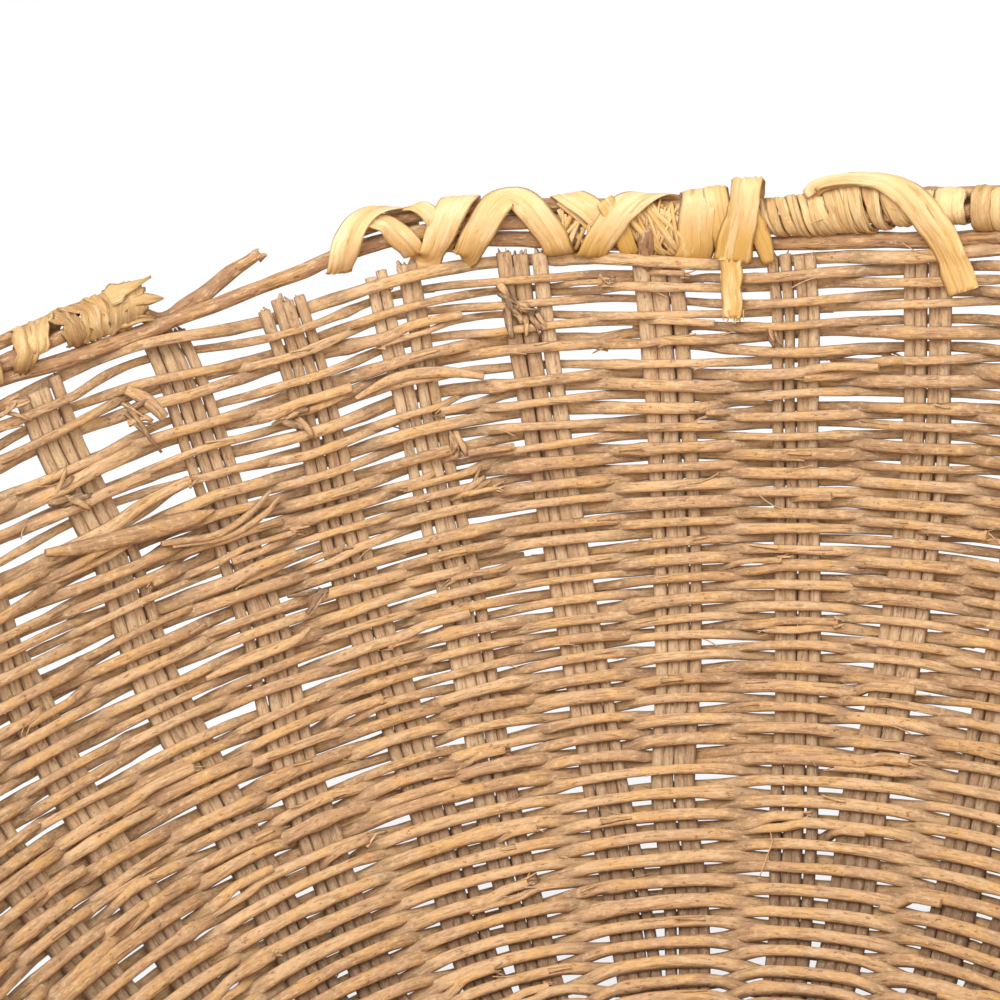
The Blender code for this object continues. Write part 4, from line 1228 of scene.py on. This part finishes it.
# The knot: a strip wound tight, in four runs that lie over each other, and left hanging inside the wall.
# Widths are in mm.
knot = {
    "wound": ((8.7, 4.6, -1.0), (8.8, 4.4, 4.0), (8.9, 2.0, 7.6), (9.0, -1.6, 8.6), (9.2, -4.6, 6.4),
              (9.3, -5.2, 2.0), (9.5, -5.2, -3.0), (9.8, -4.4, -7.0), (10.2, -1.0, -8.8),
              (10.5, 3.0, -6.4)),
    "front": ((10.6, 4.2, -3.0), (10.8, 4.8, 2.0), (11.1, 4.2, 7.2), (11.2, 1.4, 10.0),
              (11.25, -2.0, 10.9), (11.2, -4.8, 9.2), (11.05, -6.2, 5.6), (10.7, -6.7, 1.2),
              (10.3, -6.7, -3.2), (10.05, -6.5, -6.6), (9.9, -6.2, -8.2)),
    "tail": ((10.5, -5.2, -1.5), (10.1, -5.6, -5.0), (9.8, -6.2, -9.0), (9.85, -6.9, -11.6),
             (9.7, -8.2, -14.8), (9.8, -9.2, -18.0), (9.65, -10.2, -21.0)),
    "right": ((11.3, -4.4, 4.4), (11.7, -5.3, 0.6), (12.1, -5.4, -4.0), (12.4, -5.0, -9.4)),
    "frontWidths": (6.6, 7.2, 7.8, 8.0, 7.6, 7.4, 7.6, 8.2, 9.0, 9.2),
    "tailWidths": (6.0, 5.8, 5.2, 5.6, 5.0, 5.4, 4.6),
    "rightWidths": (4.6, 5.2, 3.6),
    "frayedPlaces": (-0.0018, -0.0008, 0.0002, 0.0010, 0.0017)}


def makeKnot():
    # the four runs, then the frayed end of the tail
    wound, front, tail, right = (rimLine(knot[key]) for key in ("wound", "front", "tail", "right"))
    # painted shadow on the last fifth of the front run, taken off its painted light and shade (paler on top,
    # deeper below)
    shadow = 0.35 * smoothStep((np.linspace(0, 1, len(front)) - 0.8) / 0.2)
    frontPaintedLight = np.clip(stripPaintedLight(front) - shadow, 0, 1)
    strands = [ribbon(wound, 0.0060, 0.0006, 0.3, 1801, stripPaintedLight(wound), 9, 0.05, 0.03),
               ribbon(front, widthsAlong(len(front), knot["frontWidths"]), 0.0007, 0.5, 1841, frontPaintedLight,
                      13, 0.05, 0.05, 0.0006),
               ribbon(tail, widthsAlong(len(tail), knot["tailWidths"]), 0.0006, 0.4, 1861, 0.15,
                      9, -0.08, 0.10, 0.0007),
               ribbon(right, widthsAlong(len(right), knot["rightWidths"]), 0.0006, 0.1, 1881, 0.3,
                      7, 0.08, 0.12)]
    end, before = tail[-1], tail[-4]
    way = end[:3] - before[:3]
    across = np.cross(end[3:6], unit(way))
    for i, place in enumerate(knot["frayedPlaces"]):
        strands += splinters(end[:3] + across * place - way * 0.3, way, end[3:6], 3, 0.0024,
                             1890 + 10 * i, 0.12, 0.00025)
    finishPiece("knotted_strip", "pale_strip", "binding_knot", strands)


# The broad strip laid over the bast, whose cut end hangs inside the wall, and the layer under it
laidStrip = {
    "over": ((15.9, -3.0, 6.2), (15.75, -2.8, 7.7), (16.3, -2.4, 8.7), (17.4, -2.2, 9.2), (18.8, -2.3, 9.4),
             (20.2, -2.7, 9.0), (21.4, -3.7, 8.0), (22.4, -4.9, 6.2), (23.3, -5.9, 3.2),
             (24.1, -6.4, -0.8), (24.9, -6.9, -4.8), (25.7, -8.1, -10.2), (26.4, -9.4, -15.6),
             (26.6, -9.8, -17.4)),
    "under": ((15.9, -0.8, 6.4), (16.6, -0.6, 7.6), (18.0, -0.6, 8.2), (19.6, -1.0, 8.2),
              (21.0, -2.0, 7.4)),
    "widths": (4.4, 4.2, 4.4, 5.2, 6.4, 7.4, 8.0, 8.2, 8.2, 8.0),
    "underWidth": 0.0046}


def makeLaidStrip():
    # two ribbons, one over the other
    over, under = rimLine(laidStrip["over"]), rimLine(laidStrip["under"])
    width = widthsAlong(len(over), laidStrip["widths"])
    # painted light and shade: the over strip is paler on top and deeper below, all raised by 0.25
    wear = np.clip(stripPaintedLight(over) + 0.25, 0, 1)
    finishPiece("laid_over_strip", "pale_strip", "laid_strip",
                [ribbon(over, width, 0.0011, 0.6, 1851, wear, 13, 0.10, 0.04, 0.0005),
                 ribbon(under, laidStrip["underWidth"], 0.0010, 0.3, 1901, 0.6, 9, 0.10, 0.06, 0.0004)])


makeKnot()
makeLaidStrip()
print("rim made")


# Camera: where the photograph was taken from. The focal length is in widths of the picture.
view = {"place": (0.0220, -0.3790, 0.3490), "pan": -5.22, "tilt": 23.62, "roll": -8.05, "focal": 2.487,
        "sensor": 36, "nearest": 0.01}


def makeCamera():
    # looks along forward, turned round it by the roll: right = level cos r + (level x forward) sin r
    pan, tilt, roll = (math.radians(view[key]) for key in ("pan", "tilt", "roll"))
    forward = Vector((math.sin(pan) * math.cos(tilt), math.cos(pan) * math.cos(tilt), -math.sin(tilt)))
    level = Vector((math.cos(pan), -math.sin(pan), 0))
    right = level * math.cos(roll) + level.cross(forward) * math.sin(roll)
    turned = Matrix((right, right.cross(forward), -forward)).transposed().to_4x4()
    data = bpy.data.cameras.new("view")
    data.sensor_width = view["sensor"]
    data.lens = view["sensor"] * view["focal"]
    data.clip_start = view["nearest"]
    camera = bpy.data.objects.new("view", data)
    camera.matrix_world = Matrix.Translation(view["place"]) @ turned
    bpy.context.scene.collection.objects.link(camera)
    bpy.context.scene.camera = camera


# Studio: strengths for rays that light things and for the camera, the floor's half width in metres, and
# the lamps, each with its place, its size and its watts
studio = {"world": 0.76, "floorWhite": 0.42, "floorGlow": 0.80, "floorShade": 0.21, "floorReach": 6,
          "aim": (0, 0.05, 0.05),
          "lamps": (("key", (-0.4, -0.9, 1.4), 0.9, 22.0), ("fill", (0.9, -0.5, 1.1), 1.0, 6.0),
                    ("front", (0.05, -1.1, 0.6), 0.8, 7.0))}


def backdropRays(tree):
    # 1 for rays from the camera, off shiny surfaces and through clear ones; 0 for rays that light things
    path = addNode(tree, "ShaderNodeLightPath").outputs
    share = path["Is Camera Ray"]
    for name in ("Is Glossy Ray", "Is Transmission Ray"):
        share = addNode(tree, "ShaderNodeMath", {0: share, 1: path[name]}, operation="MAXIMUM").outputs[0]
    return share


def makeStudio():
    # a white floor that still takes the shadow, a white world, and soft lamps from above
    mesh = bpy.data.meshes.new("floor")
    reach = studio["floorReach"]
    mesh.from_pydata([(-reach, -reach, 0), (reach, -reach, 0), (reach, reach, 0), (-reach, reach, 0)], [],
                     [(0, 1, 2, 3)])
    floor = bpy.data.objects.new("floor", mesh)
    bpy.context.scene.collection.objects.link(floor)
    made = bpy.data.materials.new("studio floor")
    made.use_nodes = True
    tree = made.node_tree
    tree.nodes.clear()
    seen = backdropRays(tree)
    matt = addNode(tree, "ShaderNodeBsdfDiffuse", {"Color": (studio["floorWhite"],) * 3 + (1,)})
    shade = addNode(tree, "ShaderNodeBsdfDiffuse", {"Color": (studio["floorShade"],) * 3 + (1,)})
    glow = addNode(tree, "ShaderNodeEmission", {"Strength": studio["floorGlow"]})
    shown = addNode(tree, "ShaderNodeAddShader", {0: shade.outputs[0], 1: glow.outputs[0]})
    both = addNode(tree, "ShaderNodeMixShader", {0: seen, 1: matt.outputs[0], 2: shown.outputs[0]})
    addNode(tree, "ShaderNodeOutputMaterial", {"Surface": both.outputs[0]})
    mesh.materials.append(made)
    world = bpy.data.worlds.new("studio")
    bpy.context.scene.world = world
    world.use_nodes = True
    sky = world.node_tree
    sky.nodes.clear()
    strength = addNode(sky, "ShaderNodeMapRange", {"Value": backdropRays(sky), "From Min": 0.0,
                                                   "From Max": 1.0, "To Min": studio["world"],
                                                   "To Max": 1.0}).outputs["Result"]
    back = addNode(sky, "ShaderNodeBackground", {"Color": (1, 1, 1, 1), "Strength": strength})
    addNode(sky, "ShaderNodeOutputWorld", {"Surface": back.outputs[0]})
    for name, place, size, power in studio["lamps"]:
        data = bpy.data.lights.new(name, "AREA")
        data.size = size
        data.energy = power
        lamp = bpy.data.objects.new(name, data)
        lamp.location = place
        lamp.rotation_euler = (Vector(studio["aim"]) - Vector(place)).to_track_quat("-Z", "Y").to_euler()
        bpy.context.scene.collection.objects.link(lamp)


makeCamera()
makeStudio()
bpy.context.scene.view_settings.view_transform = "Standard"
